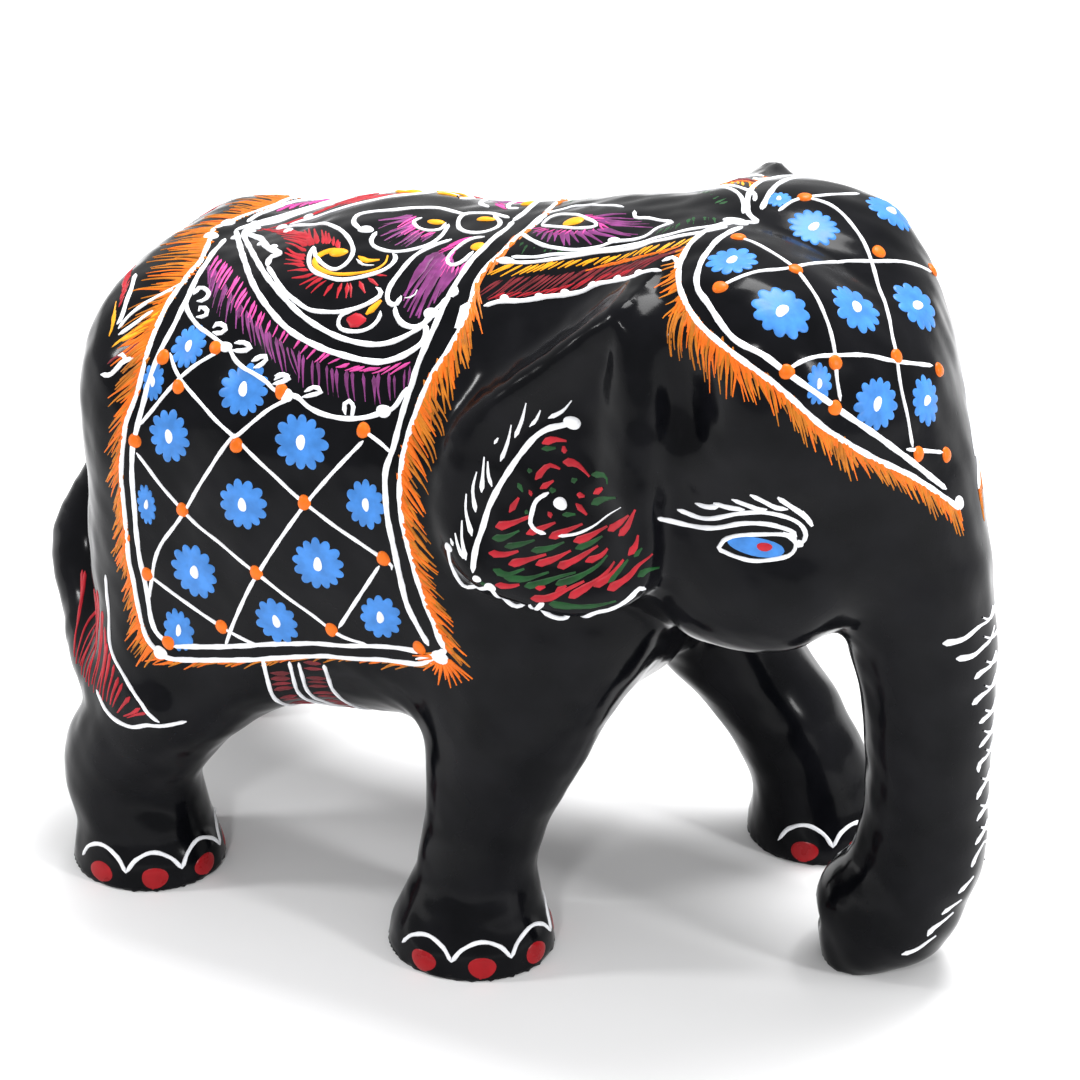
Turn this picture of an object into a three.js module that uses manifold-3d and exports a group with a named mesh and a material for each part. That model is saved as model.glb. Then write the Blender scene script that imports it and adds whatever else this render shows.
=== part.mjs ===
// Carved wooden elephant, walking, with its hand-painted relief decoration.
// Millimetres, +Z up, the elephant faces +X, its right flank is on -Y.
// The floor is z = 0 and the origin is below the middle of the bounding box.
//
// The body is one block of wood carved all over, so it is described here as one
// implicit surface (a signed distance), which is then polygonised. The paint
// relief is laid on that surface as thin conformal solids.
import * as THREE from "three";
import { mergeVertices } from "three/addons/utils/BufferGeometryUtils.js";
import Module from "manifold-3d";

// ---------------------------------------------------------------- dimensions
const GRID = 3.85; // facet size of the carved body
const PAINT_GAP = 0.42; // clearance between the wood facets and a paint solid
const PAINT_TOP = 0.95; // how far a paint solid stands off the wood
const BORDER_W = 3.4; // double white border of the saddle cloth
const LINE_W = 1.3; // single painted line
const HEAD_TURN = 0.08; // the head is carved turned a little to its right
const HEAD_START = 22.0;
const FOOT_Y = 20.0; // feet stand this far either side of the middle plane
const NAIL_AT = [-80, -34, 12, 56, 101]; // degrees round each foot, from its inner side to its outer side
const CENTRE = [0.45, -1.023]; // middle of the bounding box in the carving frame

const wasm = await Module();
wasm.setup();

// ------------------------------------------------------- the carved surface
const smin = (a, b, k) => {
  const h = Math.max(k - Math.abs(a - b), 0) / k;
  return Math.min(a, b) - h * h * k * 0.25;
};
const smax = (a, b, k) => -smin(-a, -b, k);
const clamp = (v, a, b) => Math.min(b, Math.max(a, v));
const rotY = (deg) => {
  const t = (deg * Math.PI) / 180,
    c = Math.cos(t),
    s = Math.sin(t);
  return [c, 0, s, 0, 1, 0, -s, 0, c];
};
// superellipsoid, as a distance near its surface
function sel(x, y, z, c, r, n, R) {
  let px = x - c[0],
    py = y - c[1],
    pz = z - c[2];
  if (R) {
    const qx = R[0] * px + R[3] * py + R[6] * pz,
      qy = R[1] * px + R[4] * py + R[7] * pz,
      qz = R[2] * px + R[5] * py + R[8] * pz;
    px = qx;
    py = qy;
    pz = qz;
  }
  const a = Math.abs(px) / r[0],
    b = Math.abs(py) / r[1],
    d = Math.abs(pz) / r[2];
  const an = Math.pow(a, n - 1),
    bn = Math.pow(b, n - 1),
    dn = Math.pow(d, n - 1);
  const s = Math.max(an * a + bn * b + dn * d, 1e-9),
    k = Math.pow(s, 1 / n);
  const g = Math.hypot(an / r[0], bn / r[1], dn / r[2]) * Math.pow(k, 1 - n);
  return (k - 1) / Math.max(g, 1e-4);
}
// tapered capsule
function cap(x, y, z, a, b, ra, rb) {
  const dx = b[0] - a[0],
    dy = b[1] - a[1],
    dz = b[2] - a[2];
  const L = dx * dx + dy * dy + dz * dz;
  const t = clamp(((x - a[0]) * dx + (y - a[1]) * dy + (z - a[2]) * dz) / L, 0, 1);
  return Math.hypot(x - a[0] - t * dx, y - a[1] - t * dy, z - a[2] - t * dz) - (ra + (rb - ra) * t);
}
// monotone cubic through stations, held in a table
function track(xs, ys) {
  const n = xs.length,
    d = [],
    m = new Array(n).fill(0);
  for (let i = 0; i < n - 1; i++) d.push((ys[i + 1] - ys[i]) / (xs[i + 1] - xs[i]));
  for (let i = 1; i < n - 1; i++) {
    if (d[i - 1] * d[i] > 0) {
      const h0 = xs[i] - xs[i - 1],
        h1 = xs[i + 1] - xs[i],
        w1 = 2 * h1 + h0,
        w2 = h1 + 2 * h0;
      m[i] = (w1 + w2) / (w1 / d[i - 1] + w2 / d[i]);
    }
  }
  m[0] = d[0];
  m[n - 1] = d[n - 2];
  const N = 1024,
    V = new Float64Array(N + 1),
    lo = xs[0],
    hi = xs[n - 1];
  let j = 0;
  for (let k = 0; k <= N; k++) {
    const t = lo + ((hi - lo) * k) / N;
    while (j < n - 2 && t > xs[j + 1]) j++;
    const h = xs[j + 1] - xs[j],
      s = (t - xs[j]) / h;
    V[k] =
      ys[j] * (1 + 2 * s) * (1 - s) ** 2 + ys[j + 1] * s * s * (3 - 2 * s) + h * m[j] * s * (1 - s) ** 2 - h * m[j + 1] * s * s * (1 - s);
  }
  return (t) => {
    const u = clamp((t - lo) / (hi - lo), 0, 1) * N,
      i = Math.min(N - 1, Math.floor(u));
    return V[i] + (V[i + 1] - V[i]) * (u - i);
  };
}
function catmull(P, n, loop) {
  const out = [],
    N = P.length,
    at = (i) => {
      if (loop) return P[(i + N) % N];
      if (i < 0) return P[0].map((v, k) => 2 * v - P[1][k]);
      if (i >= N) return P[N - 1].map((v, k) => 2 * v - P[N - 2][k]);
      return P[i];
    };
  for (let i = 0; i < (loop ? N : N - 1); i++)
    for (let k = 0; k < n; k++) {
      const t = k / n,
        a = at(i - 1),
        b = at(i),
        c = at(i + 1),
        d = at(i + 2);
      out.push(b.map((_, q) => 0.5 * (2 * b[q] + (c[q] - a[q]) * t + (2 * a[q] - 5 * b[q] + 4 * c[q] - d[q]) * t * t + (3 * b[q] - a[q] - 3 * c[q] + d[q]) * t ** 3)));
    }
  if (!loop) out.push(P[N - 1].slice());
  return out;
}
// signed distance to a closed outline in the side view (x, z)
function outline(x, z, V) {
  let d = 1e9,
    s = 1;
  for (let i = 0, j = V.length - 1; i < V.length; j = i, i++) {
    const ex = V[j][0] - V[i][0],
      ez = V[j][1] - V[i][1],
      wx = x - V[i][0],
      wz = z - V[i][1];
    const t = clamp((wx * ex + wz * ez) / (ex * ex + ez * ez), 0, 1),
      bx = wx - ex * t,
      bz = wz - ez * t;
    d = Math.min(d, bx * bx + bz * bz);
    const c1 = z >= V[i][1],
      c2 = z < V[j][1],
      c3 = ex * wz > ez * wx;
    if ((c1 && c2 && c3) || (!c1 && !c2 && !c3)) s = -s;
  }
  return s * Math.sqrt(d);
}
const smooth = (a, b, t) => {
  t = clamp((t - a) / (b - a), 0, 1);
  return t * t * (3 - 2 * t);
};

// stations: height, centre x, centre y, half length, half width
const LEGS = {
  hindRight: [
    [0, -41.3, -21.4, 9.6, 9.4],
    [2.5, -41.3, -21.4, 9.3, 9.1],
    [6, -42, -21.2, 8.6, 8.3],
    [11, -43.5, -20.8, 8.8, 8],
    [16, -42, -20, 9.8, 9],
    [22, -38, -18.8, 11.4, 10.4],
    [30, -34.6, -16.6, 14.4, 11.4],
    [42, -33, -13.5, 16, 11],
    [56, -32, -12.5, 13, 9],
  ],
  foreRight: [
    [0, 3.6, -21.6, 10.3, 9.8],
    [2.5, 3.6, -21.6, 9.9, 9.4],
    [6.5, 3.8, -21.3, 8.3, 8],
    [11, 4.1, -20.8, 7.3, 7.1],
    [17, 5, -19.5, 7.7, 7.5],
    [23, 6.2, -18.8, 9, 8.6],
    [30, 7.5, -17.5, 10.8, 10],
    [42, 8.6, -13.5, 14, 11.6],
    [56, 8.6, -12, 12, 9],
  ],
  foreLeft: [
    [0, 32, 20, 9.2, 9.2],
    [2.5, 32, 20, 8.9, 8.9],
    [6.5, 31.3, 20, 8, 8],
    [12, 29.2, 19.6, 7.9, 7.7],
    [18, 25.6, 19, 8.5, 8.1],
    [25, 19.6, 18, 9.9, 8.9],
    [35, 12.6, 16, 12.2, 10.4],
    [46, 9.5, 13, 13, 11],
    [56, 9.5, 12, 12, 9],
  ],
  hindLeft: [
    [0, -53, 20, 9.3, 9.3],
    [2.5, -53, 20, 9, 9],
    [6, -53.4, 20, 8.3, 8.2],
    [12, -54, 19.8, 8.1, 7.9],
    [17, -51.6, 19.2, 9.2, 8.8],
    [23, -47.6, 18.4, 11, 10],
    [30, -44, 16.6, 13, 11.2],
    [42, -40, 13.5, 14, 11],
    [56, -38, 12.5, 13, 9],
  ],
};
const TRUNK = [
    [0, 46.9, -1.2, 4.4, 6.2],
    [3, 48.8, -1, 6.2, 7.2],
    [8, 51.5, -0.6, 8, 7.6],
    [14, 53.3, -0.3, 8.1, 7.6],
    [22, 54.2, 0, 7.7, 7.4],
    [33, 54.1, 0, 7.9, 7.8],
    [43, 52.7, 0, 8.9, 9],
    [52, 50, 0, 10.7, 11.2],
    [61, 45.7, 0, 13, 14],
    [70, 41.5, 0, 14.4, 16.5],
    [79, 37.1, 0, 14.6, 17.5],
    [90, 32, 0, 12, 15],
];
const EAR = catmull(
  [
    [23.5, 89],
    [17.5, 84.5],
    [12, 79.5],
    [7, 75],
    [4.2, 69.5],
    [3.4, 63],
    [4.2, 57],
    [8.5, 52.6],
    [15, 51.2],
    [22.5, 52],
    [28.5, 56],
    [29.5, 62],
    [28, 70],
    [27, 80],
  ],
  3,
  true,
);
const TAIL = catmull(
  [
    [-50, -1.5, 54, 2],
    [-53.6, -4, 45, 3.2],
    [-56.6, -7.2, 34.6, 4.6],
    [-53, -11.5, 28.2, 4.6],
    [-48, -18, 24.8, 4.6],
    [-41.5, -23.3, 23.8, 4.2],
    [-35, -27, 25.5, 2.4],
  ],
  4,
);
const tracks = (rows) => [1, 2, 3, 4].map((i) => track(rows.map((r) => r[0]), rows.map((r) => r[i])));
const legTracks = Object.values(LEGS).map(tracks);
const trunkTracks = tracks(TRUNK);
function loft(x, y, z, f, top) {
  const rx = f[2](z),
    ry = f[3](z),
    k = Math.hypot((x - f[0](z)) / rx, (y - f[1](z)) / ry);
  return smax((k - 1) * Math.min(rx, ry), z - top, 4);
}
const R_HEAD = rotY(24),
  R_TIP = rotY(-20);
const turn = (x) => {
  const t = x - HEAD_START;
  return HEAD_TURN * 0.5 * (t + Math.sqrt(t * t + 16));
};
function wood(x, y0, z) {
  const y = y0 + turn(x),
    ay = Math.abs(y);
  let d = sel(x+0.11*(z-54),y,z,[-32.3, 0, 50.4],[19.4, 26.5, 26.5],3.15);
  d = smin(d,sel(x,y,z,[-12, 0, 52.5],[28, 28, 31],2.35),7);
  d = smin(d,sel(x,y,z,[6, 0, 56.3],[19, 25.5, 29.6],2.3),7);
  d = smin(d,sel(x,y,z,[20, 0, 70.5],[17, 18.5, 20],2.3),8);
  d = smin(d,sel(x,y,z,[13, 0, 47],[11, 13, 17.2],2.2),5);
  let hd = sel(x,y,z,[30.5, 0, 67.5],[18.3, 21.6, 23],2.6,R_HEAD);
  hd = smin(hd,sel(x,ay,z,[33.2, 11.2, 78.8],[12.2, 10.9, 12.6],2.5),6);
  hd = smin(hd,sel(x,ay,z,[36, 13, 55],[12.5, 9, 9.5],2.0),7);
  hd = smax(hd,-sel(x,ay,z,[30.5, 27, 79.5],[6.5, 6.5, 7.5],2.0),3);
  d = smin(d,hd,6);
  // ear flap
  let d2 = outline(x, z, EAR);
  let yf = 29.2-0.17*Math.max(z-57,0)-0.004*Math.max(57-z,0) ** 2-0.02*(x-14) ** 2*0.12;
  let scoop = smooth(-1.2,-6.5,d2)*(1.0+1.6*smooth(60,80,z));
  let e = smax(d2,ay-(yf-scoop),2.6);
  d = smin(d,e,4);
  // ear root ridge
  d = smin(d,cap(x,ay,z,[24.6, 19.5, 84],[25.0, 23.0, 68],3.2,3.0),3);
  let t = loft(x,y,z,trunkTracks,84);
  t = smin(t,sel(x,y,z,[49.8, -0.8, 6.9],[8.6, 7.6, 7.4],2.35,R_TIP),2.5);
  t = smax(t,-cap(x,y,z,[41.9, -9, 5.6],[41.9, 9, 5.6],1.5,1.5),0.8);
  d = smin(d,t,6);
  for (const f of legTracks) d = smin(d, loft(x, y0, z, f, 46), 6);
  let tl = 1e9;
  for (let i = 0; i + 1 < TAIL.length; i++) tl = Math.min(tl, cap(x, y0, z, TAIL[i], TAIL[i + 1], TAIL[i][3], TAIL[i + 1][3]));
  d = smin(d,tl,1.6);
  return d;
}
function gradient(p) {
  const h = 0.05,
    [x, y, z] = p;
  const g = [wood(x + h, y, z) - wood(x - h, y, z), wood(x, y + h, z) - wood(x, y - h, z), wood(x, y, z + h) - wood(x, y, z - h)].map((v) => v / (2 * h));
  const l = Math.hypot(...g) || 1;
  return { n: g.map((v) => v / l), l };
}
// moves a point along the surface normal until it stands off the wood by level
function project(p, level) {
  let q = p.slice();
  for (let i = 0; i < 7; i++) {
    const { n, l } = gradient(q),
      e = clamp((wood(...q) - level) / Math.max(l, 0.35), -3, 3);
    q = q.map((v, k) => v - n[k] * e);
  }
  return q;
}

// ------------------------------------------------------------- polygonising
// surface nets: one vertex in each grid cell that the surface crosses
function polygonise(f, lo, hi, step) {
  const n = [0, 1, 2].map((k) => Math.ceil((hi[k] - lo[k]) / step) + 1);
  const at = (i, j, k) => i + n[0] * (j + n[1] * k);
  const val = new Float64Array(n[0] * n[1] * n[2]);
  for (let k = 0; k < n[2]; k++) for (let j = 0; j < n[1]; j++) for (let i = 0; i < n[0]; i++) val[at(i, j, k)] = f(lo[0] + i * step, lo[1] + j * step, lo[2] + k * step);
  const id = new Int32Array(val.length).fill(-1),
    V = [];
  for (let k = 0; k < n[2] - 1; k++)
    for (let j = 0; j < n[1] - 1; j++)
      for (let i = 0; i < n[0] - 1; i++) {
        let m = 0,
          s = [0, 0, 0];
        const c = (a) => [i + (a & 1), j + ((a >> 1) & 1), k + ((a >> 2) & 1)];
        for (let a = 0; a < 8; a++)
          for (const bit of [1, 2, 4]) {
            if (a & bit) continue;
            const p = c(a),
              q = c(a | bit),
              u = val[at(...p)],
              w = val[at(...q)];
            if (u < 0 === w < 0) continue;
            const t = u / (u - w);
            m++;
            for (let d = 0; d < 3; d++) s[d] += p[d] + (q[d] - p[d]) * t;
          }
        if (!m) continue;
        id[at(i, j, k)] = V.length;
        V.push(s.map((v, d) => lo[d] + (v / m) * step));
      }
  const T = [];
  const axes = [
    [0, 1, 2],
    [1, 2, 0],
    [2, 0, 1],
  ];
  for (let k = 1; k < n[2] - 1; k++)
    for (let j = 1; j < n[1] - 1; j++)
      for (let i = 1; i < n[0] - 1; i++)
        for (const [a, b, c] of axes) {
          const p = [i, j, k],
            q = [i, j, k];
          q[a]++;
          const u = val[at(...p)],
            w = val[at(...q)];
          if (u < 0 === w < 0) continue;
          const cell = (db, dc) => {
            const r = [i, j, k];
            r[b] -= db;
            r[c] -= dc;
            return id[at(...r)];
          };
          const quad = [cell(1, 1), cell(0, 1), cell(0, 0), cell(1, 0)];
          if (u >= 0) quad.reverse();
          // split along the shorter diagonal
          const d2 = (s, t) => V[s].reduce((acc, v, x) => acc + (v - V[t][x]) ** 2, 0);
          if (d2(quad[0], quad[2]) <= d2(quad[1], quad[3])) T.push([quad[0], quad[1], quad[2]], [quad[0], quad[2], quad[3]]);
          else T.push([quad[1], quad[2], quad[3]], [quad[1], quad[3], quad[0]]);
        }
  return { V, T };
}
function geometryOf({ V, T }) {
  return new THREE.BufferGeometry().setAttribute("position", new THREE.BufferAttribute(new Float32Array(V.flat()), 3)).setIndex(T.flat());
}
function solidOf(geometry) {
  const g = geometry.clone();
  g.deleteAttribute("normal");
  g.deleteAttribute("uv");
  const m = mergeVertices(g, 1e-4);
  return new wasm.Manifold(new wasm.Mesh({ numProp: 3, vertProperties: new Float32Array(m.attributes.position.array), triVerts: new Uint32Array(m.index.array) }));
}
function geometryFrom(solid) {
  const m = solid.getMesh(),
    k = m.numProp,
    v = new Float32Array(m.numVert * 3);
  for (let i = 0; i < m.numVert; i++) v.set(m.vertProperties.subarray(i * k, i * k + 3), i * 3);
  return new THREE.BufferGeometry().setAttribute("position", new THREE.BufferAttribute(v, 3)).setIndex(new THREE.BufferAttribute(new Uint32Array(m.triVerts), 1));
}

// -------------------------------------------------------- conformal solids
const sub = (a, b) => a.map((v, i) => v - b[i]);
const cross = (a, b) => [a[1] * b[2] - a[2] * b[1], a[2] * b[0] - a[0] * b[2], a[0] * b[1] - a[1] * b[0]];
const unit = (a) => {
  const l = Math.hypot(...a) || 1;
  return a.map((v) => v / l);
};
const lerp = (a, b, t) => a.map((v, i) => v + (b[i] - v) * t);
// a curve through control points, walked at about one step
function walk(P, step, loop) {
  const fine = catmull(P, 12, loop),
    pts = loop ? [...fine, fine[0]] : fine;
  const s = [0];
  for (let i = 1; i < pts.length; i++) s.push(s[i - 1] + Math.hypot(...sub(pts[i], pts[i - 1])));
  const L = s[s.length - 1],
    n = Math.max(2, Math.round(L / step)),
    out = [];
  for (let k = 0, i = 0; k <= (loop ? n - 1 : n); k++) {
    const d = (L * k) / n;
    while (i < s.length - 2 && s[i + 1] < d) i++;
    out.push(lerp(pts[i], pts[i + 1], clamp((d - s[i]) / (s[i + 1] - s[i] || 1), 0, 1)));
  }
  return out;
}
// solid between two rails, laid on the wood
function band(A, B, across, loop, top = PAINT_TOP, gap = PAINT_GAP) {
  const V = [],
    T = [],
    n = A.length,
    w = across + 1;
  for (const level of [top, gap]) for (let i = 0; i < n; i++) for (let j = 0; j < w; j++) V.push(project(lerp(A[i], B[i], j / across), level));
  const up = (i, j) => (i % n) * w + j,
    dn = (i, j) => n * w + (i % n) * w + j;
  const quad = (a, b, c, d) => T.push([a, b, c], [a, c, d]);
  for (let i = 0; i < (loop ? n : n - 1); i++) {
    for (let j = 0; j < across; j++) {
      quad(up(i, j), up(i + 1, j), up(i + 1, j + 1), up(i, j + 1));
      quad(dn(i, j), dn(i, j + 1), dn(i + 1, j + 1), dn(i + 1, j));
    }
    quad(up(i, 0), dn(i, 0), dn(i + 1, 0), up(i + 1, 0));
    quad(up(i, across), up(i + 1, across), dn(i + 1, across), dn(i, across));
  }
  if (!loop)
    for (let j = 0; j < across; j++) {
      quad(up(0, j), up(0, j + 1), dn(0, j + 1), dn(0, j));
      quad(up(n - 1, j), dn(n - 1, j), dn(n - 1, j + 1), up(n - 1, j + 1));
    }
  let volume = 0;
  for (const [a, b, c] of T) volume += V[a][0] * (V[b][1] * V[c][2] - V[b][2] * V[c][1]) + V[a][1] * (V[b][2] * V[c][0] - V[b][0] * V[c][2]) + V[a][2] * (V[b][0] * V[c][1] - V[b][1] * V[c][0]);
  if (volume < 0) for (const t of T) t.reverse();
  return solidOf(geometryOf({ V, T }));
}
function ribbon(P, width, { step = 3, loop = false, top, gap } = {}) {
  const C = walk(P, step, loop).map((p) => project(p, 0)),
    n = C.length,
    A = [],
    B = [];
  for (let i = 0; i < n; i++) {
    const a = C[loop ? (i + n - 1) % n : Math.max(0, i - 1)],
      b = C[loop ? (i + 1) % n : Math.min(n - 1, i + 1)];
    const side = unit(cross(gradient(C[i]).n, unit(sub(b, a))));
    A.push(C[i].map((v, k) => v + (side[k] * width) / 2));
    B.push(C[i].map((v, k) => v - (side[k] * width) / 2));
  }
  return band(A, B, 1, loop, top, gap);
}
// low dome on a round or oval outline
function spot(c, ru, rv, along, n = 10) {
  const p = project(c, 0),
    N = gradient(p).n,
    u = unit(cross(cross(N, along), N)),
    v = cross(N, u);
  const ring = (k, level) =>
    Array.from({ length: n }, (_, i) => {
      const t = (2 * Math.PI * i) / n;
      return project(p.map((q, d) => q + u[d] * ru * k * Math.cos(t) + v[d] * rv * k * Math.sin(t)), level);
    });
  const V = [project(p, PAINT_TOP + 0.35), ...ring(0.62, PAINT_TOP + 0.25), ...ring(1, PAINT_GAP + 0.2), ...ring(1, PAINT_GAP), project(p, PAINT_GAP)],
    T = [];
  const last = V.length - 1;
  for (let i = 0; i < n; i++) {
    const j = (i + 1) % n;
    T.push([0, 1 + i, 1 + j]);
    for (let r = 0; r < 2; r++) {
      const a = 1 + r * n;
      T.push([a + i, a + n + i, a + n + j], [a + i, a + n + j, a + j]);
    }
    T.push([last, 1 + 2 * n + j, 1 + 2 * n + i]);
  }
  return solidOf(geometryOf({ V, T }));
}
const mirror = (P) => P.map(([x, y, z]) => [x, -y - 2 * turn(x), z]);
const union = (list) => list.reduce((a, b) => a.add(b));

// ------------------------------------------------------------------ colours
const LACQUER = { color: 0x14151a, roughness: 0.12, metalness: 0 };
const WHITE = { color: 0xf1f0f4, roughness: 0.35, metalness: 0 };
const BLUE = { color: 0x3f8fe0, roughness: 0.35, metalness: 0 };
const ORANGE = { color: 0xe07a10, roughness: 0.4, metalness: 0 };
const MAGENTA = { color: 0xc43f9a, roughness: 0.4, metalness: 0 };
const CRIMSON = { color: 0xb31e2e, roughness: 0.4, metalness: 0 };
const GREEN = { color: 0x1f5a2c, roughness: 0.4, metalness: 0 };
const YELLOW = { color: 0xf2b51c, roughness: 0.4, metalness: 0 };

const elephant = new THREE.Group();
elephant.name = "carved_elephant";
elephant.position.set(-CENTRE[0], -CENTRE[1], 0);
function piece(name, solid, finish) {
  const mesh = new THREE.Mesh(geometryFrom(solid), new THREE.MeshStandardMaterial(finish));
  mesh.name = name;
  elephant.add(mesh);
}
const pair = (name, make, finish) => {
  piece(name + "_right", make((P) => P), finish);
  piece(name + "_left", make(mirror), finish);
};

// --------------------------------------------------------------- the wood
// The four soles and the underside of the trunk tip are cut flat at the floor.
{
  const long = (x, y, z) => Math.max(wood(x, y, z), -3 - z); // the soles run on below the floor before they are cut
  const block = solidOf(geometryOf(polygonise(long, [-70.3, -39.7, -8.1], [72, 42, 102], GRID)));
  const under = solidOf(new THREE.BoxGeometry(200, 120, 20).translate(0, 0, -10));
  piece("carved_body", block.subtract(under), LACQUER);
}

// ---------------------------------------------------------- saddle cloth
// One double white border runs down both flanks and over the back, twice.
const BORDER = [
  [2.6, 0, 86.6], [1.0, -9, 85], [0.4, -15, 81.8], [-0.4, -20.6, 76.8], [-1.9, -24.8, 70], [-2.5, -27, 63], [-1.7, -27.6, 56], [0, -27.4, 50], [2.4, -27, 44.2],
  [-1.2, -26.4, 39.6], [-8, -25.9, 38.2], [-18, -26, 36.4], [-27, -26.6, 34.7], [-35.2, -27.2, 34],
  [-38.6, -26.7, 40], [-39.7, -26.4, 48], [-39.8, -26, 56], [-39, -24.6, 65], [-38.4, -20.5, 72], [-38.4, -13, 76.6], [-39.4, -6, 78],
];
{
  const back = mirror(BORDER).reverse();
  const loop = [...BORDER, [-40.4, 0, 78.2], ...back.slice(0, -1)];
  piece("saddle_border", ribbon(loop, BORDER_W, { step: 5, loop: true }), WHITE);
}
// net of diagonal lines on each flank
const NET = [
  [[-34.2, -23.4, 69], [-23.8, -26.8, 63.2], [-14.5, -27.8, 58.3], [-5.2, -27.8, 53.6]],
  [[-36.2, -26, 59], [-31.3, -27.1, 53.3], [-21.1, -27.9, 47.6], [-11.7, -27.1, 41.8]],
  [[-35.6, -26.9, 43.6], [-26.6, -27, 38.9]],
  [[-36.2, -26, 59], [-32.9, -24, 67.8]],
  [[-35.6, -26.9, 43.6], [-31.3, -27.1, 53.3], [-23.8, -26.8, 63.2], [-20.4, -25.2, 68.2]],
  [[-26.6, -27, 38.9], [-21.1, -27.9, 47.6], [-14.5, -27.8, 58.3], [-8.6, -26.3, 66.2]],
  [[-11.7, -27.1, 41.8], [-5.2, -27.8, 53.6]],
];
pair("flank_net", (m) => union(NET.map((P) => ribbon(m(P), LINE_W, { step: 5 }))), WHITE);
// swag: the crescent between the flank net and the back
const SWAG_TOP = [[-35.6, -9.5, 77.6], [-30.5, -13.4, 77.8], [-24.5, -18.2, 76.5], [-18.6, -20.4, 75.5], [-12.8, -21.1, 75.2], [-8, -21.2, 75.2], [-4.6, -19.4, 77.4]];
const SWAG_LOW = [[-35.6, -13.2, 76.3], [-31.1, -18.6, 75], [-26, -21.6, 73.2], [-20.8, -22.9, 72.4], [-15.3, -23.6, 71.6], [-9.5, -23.6, 71.8], [-4.8, -21.6, 75]];
pair("swag", (m) => band(walk(m(SWAG_TOP), 4.4), walk(m(SWAG_LOW), 4.4).slice(0, 99), 1), MAGENTA);

// arabesque on the back, between the two swags
const rails = (rows, side) => rows.map(([x, y, z]) => [x, side * y, z]);
const BACK = [[-37, 2, 78.2], [-34, 5.5, 78.8], [-29, 9.5, 79], [-23, 13.4, 79], [-16, 15.6, 79.6], [-9.5, 16, 80.6], [-4.4, 13.5, 82.6], [-1.6, 9, 84.6]];
piece("back_arabesque", band(rails(BACK, -1), rails(BACK, 1), 6, false, 1.1, 0.6), YELLOW);
const NECK = [[5.4, 8.6, 86], [11, 9, 87.5], [17, 8.4, 89.2], [22.5, 6.8, 90.8], [26.6, 3.6, 91.9]];
piece("neck_leaf", band(rails(NECK, -1), rails(NECK, 1), 4, false, 1.1, 0.6), GREEN);
const NECK_A = [[4.6, -10.6, 84.8], [11, -10.8, 86.6], [17, -10.4, 88.2], [22.6, -9, 90.4]];
const NECK_B = [[5.2, -14.2, 82.8], [11, -14.2, 84.2], [17, -13.8, 86.6], [23.2, -12.6, 90]];
pair("neck_band", (m) => band(walk(m(NECK_A), 4.6), walk(m(NECK_B), 4.6), 1), ORANGE);
const RUMP = [[-42.6, 9.4, 76.6], [-46, 8.6, 75.6], [-49, 6.6, 73.6], [-51.4, 3.6, 70.6]];
piece("rump_leaf", band(rails(RUMP, -1), rails(RUMP, 1), 2), CRIMSON);
// orange fringe outside the front border and behind the rear border
pair("fringe_front", (m) => ribbon(m([[4.4, -18.6, 79.4], [3.2, -23.2, 73.6], [1.9, -26.2, 67], [1.7, -27.4, 60], [2.8, -27.8, 53.6], [5.6, -27.4, 46.6]]), 2.2, { step: 5.5 }), ORANGE);
pair("fringe_rear", (m) => ribbon(m([[-42.2, -14, 75.4], [-42.4, -20.6, 70.6], [-43.2, -24.2, 64], [-43.8, -25.2, 55.6], [-43.2, -26, 47], [-42.6, -26.4, 41]]), 2.2, { step: 5.5 }), ORANGE);
// girth band painted round under the belly
const GIRTH = [[-17.6, -25.2, 32.8], [-17.4, -22.6, 28.2], [-17, -17, 24.4], [-17, -9, 22], [-17, 0, 21.4]];
piece("girth_band", ribbon([...GIRTH, ...mirror(GIRTH).reverse().slice(1)], 5.6, { step: 5 }), CRIMSON);

// ------------------------------------------------------------------ head
const FORE = [[31.6, -2.5, 91.4], [28.2, -6.6, 92], [26.8, -11.6, 91.4], [27.6, -16, 90], [31, -19.6, 87.6], [36, -20.8, 84.6], [41, -20.2, 81.4], [46, -18.2, 76.6], [50.4, -14.8, 72.2], [54, -10, 68]];
{
  const other = mirror(FORE).reverse();
  piece("forehead_border", ribbon([...FORE, [57.8, -3.2, 62], ...other], 1.8, { step: 4.6, loop: true }), WHITE);
}
const FNET = [
  [[32.6, -13.6, 90.6], [38, -9, 90.2], [45, -8.6, 86.4], [50.4, -8.8, 79.8], [53, -7.6, 73.4]],
  [[34.6, 4.6, 91.4], [42, 3.4, 88.4], [48.6, 1, 84], [52.6, -1, 77.6], [55.4, -2.8, 70.4]],
  [[32.6, -13.6, 90.6], [38, -2.5, 90.6], [34.6, 4.6, 91.4]],
  [[41.8, -16.6, 84.4], [46, -8.6, 85.4], [47.6, 2, 84.8], [44.2, 11, 85.4]],
  [[50.4, -11.2, 76.2], [52.6, -7, 75], [54.2, -2, 73.6], [52.4, 4, 75.2]],
];
piece("forehead_net", union(FNET.map((P) => ribbon(P, LINE_W, { step: 4.5 }))), WHITE);
pair("forehead_fringe", (m) => ribbon(m([[31.6, -22.4, 85.4], [36.6, -23, 81.6], [42, -21.8, 77.8], [47, -19.6, 72.8], [51.2, -16, 68.4], [54.6, -10.8, 63.8]]), 2.2, { step: 5 }), ORANGE);
pair("eye", (m) => spot(m([[39.8, -21.2, 61.8]])[0], 4.4, 1.7, [1, 0, 0]), BLUE);
pair("brow", (m) => ribbon(m([[31, -23.2, 65.6], [36, -22.2, 65.4], [40.6, -21, 65.2], [44.4, -19, 64.4]]), 1.3, { step: 2.4, top: 1.15, gap: 0.66 }), WHITE);
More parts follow.
